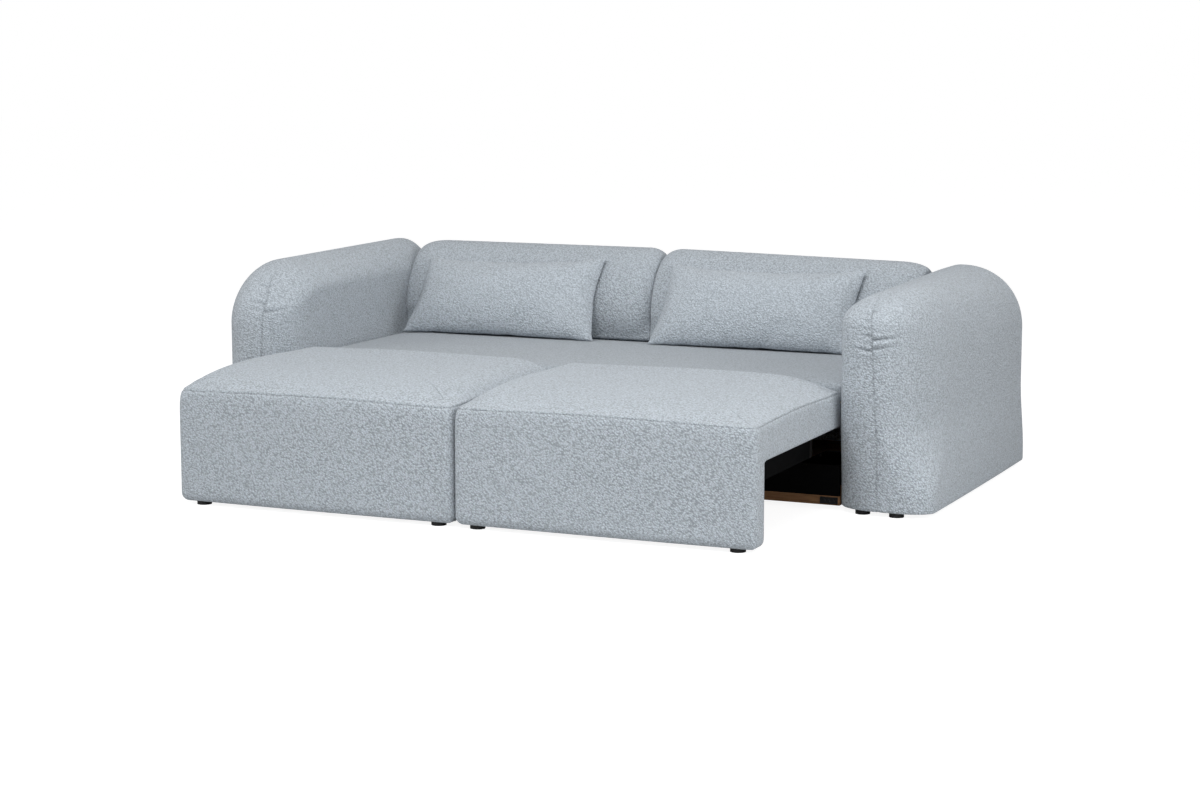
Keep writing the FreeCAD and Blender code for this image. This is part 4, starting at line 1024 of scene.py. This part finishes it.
def back(side, droop):
    """One back cover as a closed skin; its top falls by droop towards its outer end.

    A point is core + (profile - core) x pull, and pull is 1 less the draw of each rounded end.
    """
    y, z = smooth_loop(BACK_PROFILE, 8).T
    core_y, core_z = BACK_CORE
    low_x, high_x = back_low[0] - BACK_REACH, back_high[0]
    end = 1 - np.cos(np.radians(np.linspace(0, 90, 14)))
    near, far = low_x + INNER_ROUND * end, high_x - OUTER_ROUND * end[::-1]
    x = column(np.concatenate([near, np.linspace(near[-1], far[0], 66)[1:-1], far]))
    share = (x - low_x) / (high_x - low_x)
    above_foot = np.clip((z - BACK_FOOT) / 0.05, 0.0, 1.0) ** 0.7
    drawn = (INNER_DRAW * (1.0 - swell(x - low_x, INNER_ROUND))
             + OUTER_DRAW * (1.0 - swell(high_x - x, OUTER_ROUND)))
    pull = 1.0 - drawn * above_foot
    belly = BELLY * np.sin(np.pi * share) * bell(z - BELLY_Z, 0.10) * (y < 0.75)
    fall = droop * share * soft_step((z - BELLY_Z) / 0.20)
    rows = np.dstack([x + 0.0 * pull, core_y + (y - core_y) * pull - belly,
                      core_z + (z - core_z) * pull - fall])

    inwards = np.array([0.0, 0.25, 0.5, 0.75, 0.9])[:, None, None]
    first = between(np.array([low_x, core_y, core_z]), rows[0], inwards)
    last = between(np.array([high_x, core_y, core_z]), rows[-1], inwards[::-1])
    skin = Skin(side)
    skin.add(np.concatenate([first, rows, last]), wrap=True)
    skin.build(side + "_back_cover", back_shaded_cloth, "base", [side + "_back_cushion"])


back("left", 0.0)
back("right", RIGHT_DROOP)


# %% [markdown]
# ## Loose pillows: the sheets
#
# A pillow is two flat sheets sewn together and stuffed. The cloth solver
# gives what no formula gives easily: edges that draw in between pointed
# corners, and creases that run in from them.

# %% Blow up a pillow
PILLOW_WIDE, PILLOW_HIGH = 0.785, 0.337
STUFFED_FRONT, STUFFED_REAR = 0.055, 0.030
BLOW_FRAMES = 25
CLOTH_SETTINGS = {"quality": 6, "mass": 0.3, "use_pressure": True, "uniform_pressure_force": 3.0,
                  "tension_stiffness": 25.0, "compression_stiffness": 20.0,
                  "shear_stiffness": 12.0, "bending_stiffness": 0.6}


def pillow_sheets(columns, rows):
    """Two sheets joined at their edge, already lightly stuffed.

    Thickness is the root of (1 - across squared) x (1 - up squared), and the corners stick out.
    """
    across = np.sin(np.linspace(-0.5, 0.5, columns) * np.pi * 0.92) / np.sin(0.46 * np.pi)
    up = np.sin(np.linspace(-0.5, 0.5, rows) * np.pi * 0.86) / np.sin(0.43 * np.pi)
    gx, gz = np.meshgrid(across, up)
    full = ((1 - gx ** 2) * (1 - gz ** 2)).clip(0) ** 0.5
    x = gx * PILLOW_WIDE / 2 * (1 + 0.02 * gz ** 2)
    z = gz * PILLOW_HIGH / 2 * (1 + 0.05 * gx ** 2)
    return [np.dstack([x, depth * full, z]) for depth in (-STUFFED_FRONT, STUFFED_REAR)]


def blow_up(mesh):
    """Run the cloth solver on the joined sheets and return the points it ends with."""
    piece = put("pillow_work", mesh)
    cloth = piece.modifiers.new("cloth", "CLOTH")
    for key, value in CLOTH_SETTINGS.items():
        setattr(cloth.settings, key, value)
    cloth.settings.effector_weights.gravity = 0.0
    cloth.collision_settings.use_collision = False
    for frame_number in range(1, BLOW_FRAMES + 1):
        scene.frame_set(frame_number)
    blown = piece.evaluated_get(bpy.context.evaluated_depsgraph_get())
    points = points_of(blown.to_mesh())
    blown.to_mesh_clear()
    scene.frame_set(1)
    bpy.data.objects.remove(piece)
    return points


def points_of(mesh):
    """A mesh's points as one array."""
    points = np.empty(len(mesh.vertices) * 3)
    mesh.vertices.foreach_get("co", points)
    return points.reshape(-1, 3)


print("a pillow is", PILLOW_WIDE, "wide and", PILLOW_HIGH, "high")


# %% [markdown]
# ## Loose pillows: in place
#
# The solver's full shape is too wrinkled for this firm filling, so it is mixed
# with the smoothly stuffed one. The mixture is set to the real size, its foot
# is made level, and it is leant back and set down on the deck's cover.

# %% Set the pillows down
PILLOW_FRONT, PILLOW_REAR = 0.088, 0.008
PILLOW_LEAN = math.radians(34.0)
CREASE_SHARE, FOOT_SHARE = 0.30, 0.9
FOOT_GAP = 0.0012
FOOT_BINS = 40


def to_size(shape):
    """The points centred and set to the pillow's width, height and its thickness each way."""
    low, high = shape.min(axis=0), shape.max(axis=0)
    x, y, z = (shape - (low + high) / 2).T
    x = x * (PILLOW_WIDE / (high - low)[0])
    z = z * (PILLOW_HIGH / (high - low)[2])
    y = y - np.median(y[np.abs(x) > 0.48 * PILLOW_WIDE])
    y = np.where(y < 0, y * PILLOW_FRONT / -y.min(), y * PILLOW_REAR / y.max())
    return np.column_stack([x, y, z])


def lower_edge(shape):
    """For each point, the height of the lower edge straight below it: the lowest in each strip."""
    strip = ((shape[:, 0] / PILLOW_WIDE + 0.5) * FOOT_BINS).astype(int).clip(0, FOOT_BINS - 1)
    lowest = np.zeros(FOOT_BINS)
    np.minimum.at(lowest, strip, shape[:, 2])
    centres = ((np.arange(FOOT_BINS) + 0.5) / FOOT_BINS - 0.5) * PILLOW_WIDE
    return np.interp(shape[:, 0], centres, lowest)


def set_down(shape, name, slip, tilt, taper):
    """The shape leant back against its back, its foot on the deck.

    Height above the foot grows by tilt x place across, so the foot stays level; width shrinks by
    taper x height. Then the shape turns about X by the lean.
    """
    foot = -PILLOW_HIGH / 2
    shape[:, 2] -= FOOT_SHARE * (lower_edge(shape) - foot) * soft_step(shape[:, 2] / foot)
    shape[:, 2] = foot + (shape[:, 2] - foot) * (1 + tilt * shape[:, 0] / PILLOW_WIDE)
    shape[:, 0] *= 1 - taper * (0.5 + shape[:, 2] / PILLOW_HIGH)
    cosine, sine = math.cos(PILLOW_LEAN), math.sin(PILLOW_LEAN)
    x, y, z = shape.T
    leant = np.column_stack([x, y * cosine + z * sine, -y * sine + z * cosine])
    centre = sum(box_of(name)) / 2
    leant += centre - (leant.max(axis=0) + leant.min(axis=0)) / 2 + np.array([slip, 0.0, 0.0])
    leant[:, 2] += deck_high[2] + FOOT_GAP - leant[:, 2].min()
    return leant


def pillow(name, slip, tilt, taper):
    """One pillow; slip moves it along, tilt raises its right end and taper narrows its top."""
    skin = Skin()
    for sheet in pillow_sheets(72, 34):
        skin.add(sheet)
    piece = skin.build(name + "_cover", pillow_cloth, name, [name])
    mesh = piece.data
    shape = to_size(points_of(mesh))
    creased = to_size(blow_up(mesh.copy()))
    print(name, "creases move the cloth by up to", np.abs(creased - shape).max().round(3))
    shape = between(shape, creased, CREASE_SHARE)
    placed = set_down(shape, name, slip, tilt, taper)
    mesh.vertices.foreach_set("co", placed.reshape(-1))
    mesh.update()
    smooth = piece.modifiers.new("round", "SUBSURF")
    smooth.levels = smooth.render_levels = 2


pillow("left_pillow", -0.012, 0.072, 0.07)
pillow("right_pillow", 0.012, 0.0, 0.05)


# %% [markdown]
# ## Studio floor
#
# The photograph is cut out on white, with almost no shadow. A white floor
# would light the sofa from below, so only the camera sees it as white, with a
# little real shading kept. Under the sofa the camera sees it dark, which is
# painted shade.

# %% Lay the floor
FLOOR_REACH = 30.0
GLOW = 0.90
# The patch of painted shade under the sofa: its half width, its middle and half depth, with soft borders
SHADE_PATCH_WIDE = (1.27, 1.30)
SHADE_PATCH_MIDDLE = 0.4325
SHADE_PATCH_DEEP = (0.4925, 0.4975)


def floor_finish():
    """Pale to all rays; to the camera, glow and dim grey outside the patch of painted shade, near black
    inside it.

    Outside is 1 - (1 - beside) x (1 - before), each a short ramp at the patch's border.
    """
    recipe = Recipe("studio_floor")
    pale = recipe.mix(recipe.noise(2.0), (0.67, 0.67, 0.67, 1), (0.69, 0.69, 0.69, 1))
    lit = recipe.node("BsdfDiffuse", {"Color": pale})
    # Near black to the camera under the sofa: painted shade
    dark = recipe.node("BsdfDiffuse", {"Color": (0.01, 0.01, 0.01, 1)})
    dim = recipe.node("BsdfDiffuse", {"Color": (0.30, 0.30, 0.30, 1)})
    glow = recipe.node("Emission", {"Color": (1, 1, 1, 1), "Strength": GLOW})
    white = recipe.node("AddShader", {0: dim, 1: glow})
    x, y = (recipe.node("SeparateXYZ", {"Vector": recipe.place}, axis) for axis in "XY")
    beside = recipe.spread(abs(x), *SHADE_PATCH_WIDE)
    before = recipe.spread(abs(y - SHADE_PATCH_MIDDLE), *SHADE_PATCH_DEEP)
    outside = 1.0 - (1.0 - beside) * (1.0 - before)
    camera = recipe.node("LightPath", output="Is Camera Ray")
    under = recipe.node("MixShader", {0: camera, 1: lit, 2: dark})
    surface = recipe.node("MixShader", {0: camera * outside, 1: under, 2: white})
    recipe.node("OutputMaterial", {"Surface": surface})
    return recipe.look


mesh = bpy.data.meshes.new("studio_floor")
corners = [(x * FLOOR_REACH, y * FLOOR_REACH, 0.0) for x, y in ((-1, -1), (1, -1), (1, 1), (-1, 1))]
mesh.from_pydata(corners, [], [(0, 1, 2, 3)])
mesh.materials.append(floor_finish())
floor = put("studio_floor", mesh)
print("floor laid,", 2 * FLOOR_REACH, "m wide")


# %% [markdown]
# ## Lights
#
# The light in the photograph is soft and comes mostly from above and in
# front, with the right side a little brighter than the left. Three large
# square lamps do that, and the air fills in the rest.

# %% Hang the lights
LAMP_SIZE = 3.0
LAMPS = (("overhead", (0.6, -2.2, 3.7), (0.0, -0.3, 0.3), 142.0),
         ("left", (-5.2, -2.8, 2.4), (0.0, 0.0, 0.4), 80.0),
         ("right", (5.6, -1.6, 2.0), (0.0, 0.0, 0.4), 116.0))


for name, place, target, power in LAMPS:
    lamp = bpy.data.lights.new(name, "AREA")
    lamp.shape, lamp.size, lamp.energy = "SQUARE", LAMP_SIZE, power
    item = put(name, lamp)
    item.location = place
    # It faces its target: tipped by the slope of the line to it, then turned
    x, y, z = np.array(target) - np.array(place)
    item.rotation_euler = (math.atan2(math.hypot(x, y), -z), 0.0, math.atan2(y, x) - math.pi / 2)
print(len(LAMPS), "lamps hung")


# %% [markdown]
# ## Backdrop
#
# Behind the sofa there is nothing but air. The camera sees it as pure white,
# and for everything else it is a weaker, even fill light.

# %% Fill the air
AIR_FILL = 0.33

air = Recipe("studio_air", "worlds")
seen = air.node("LightPath", output="Is Camera Ray")
fill, white = (air.node("Background", {"Color": (1, 1, 1, 1), "Strength": strength})
               for strength in (AIR_FILL, 1.0))
air.node("OutputWorld", {"Surface": air.node("MixShader", {0: seen, 1: fill, 2: white})})
scene.world = air.look
scene.view_settings.view_transform = "Standard"
print("air fill", AIR_FILL)


# %% [markdown]
# ## Camera
#
# The camera stands in front and to the right, a little above the backs. Its
# place and lens were found by matching the straight edges of the seats.

# %% Place the camera
LENS, SENSOR = 72.6, 36.0
VIEW_PLACE = (3.392, -7.511, 1.506)
VIEW_TIP, VIEW_TURN = 81.52, 23.72

camera = bpy.data.cameras.new("camera")
camera.lens, camera.sensor_width = LENS, SENSOR
viewer = put("camera", camera)
viewer.location = VIEW_PLACE
viewer.rotation_euler = (math.radians(VIEW_TIP), 0.0, math.radians(VIEW_TURN))
scene.camera = viewer
print("camera at", tuple(round(value, 3) for value in viewer.location))
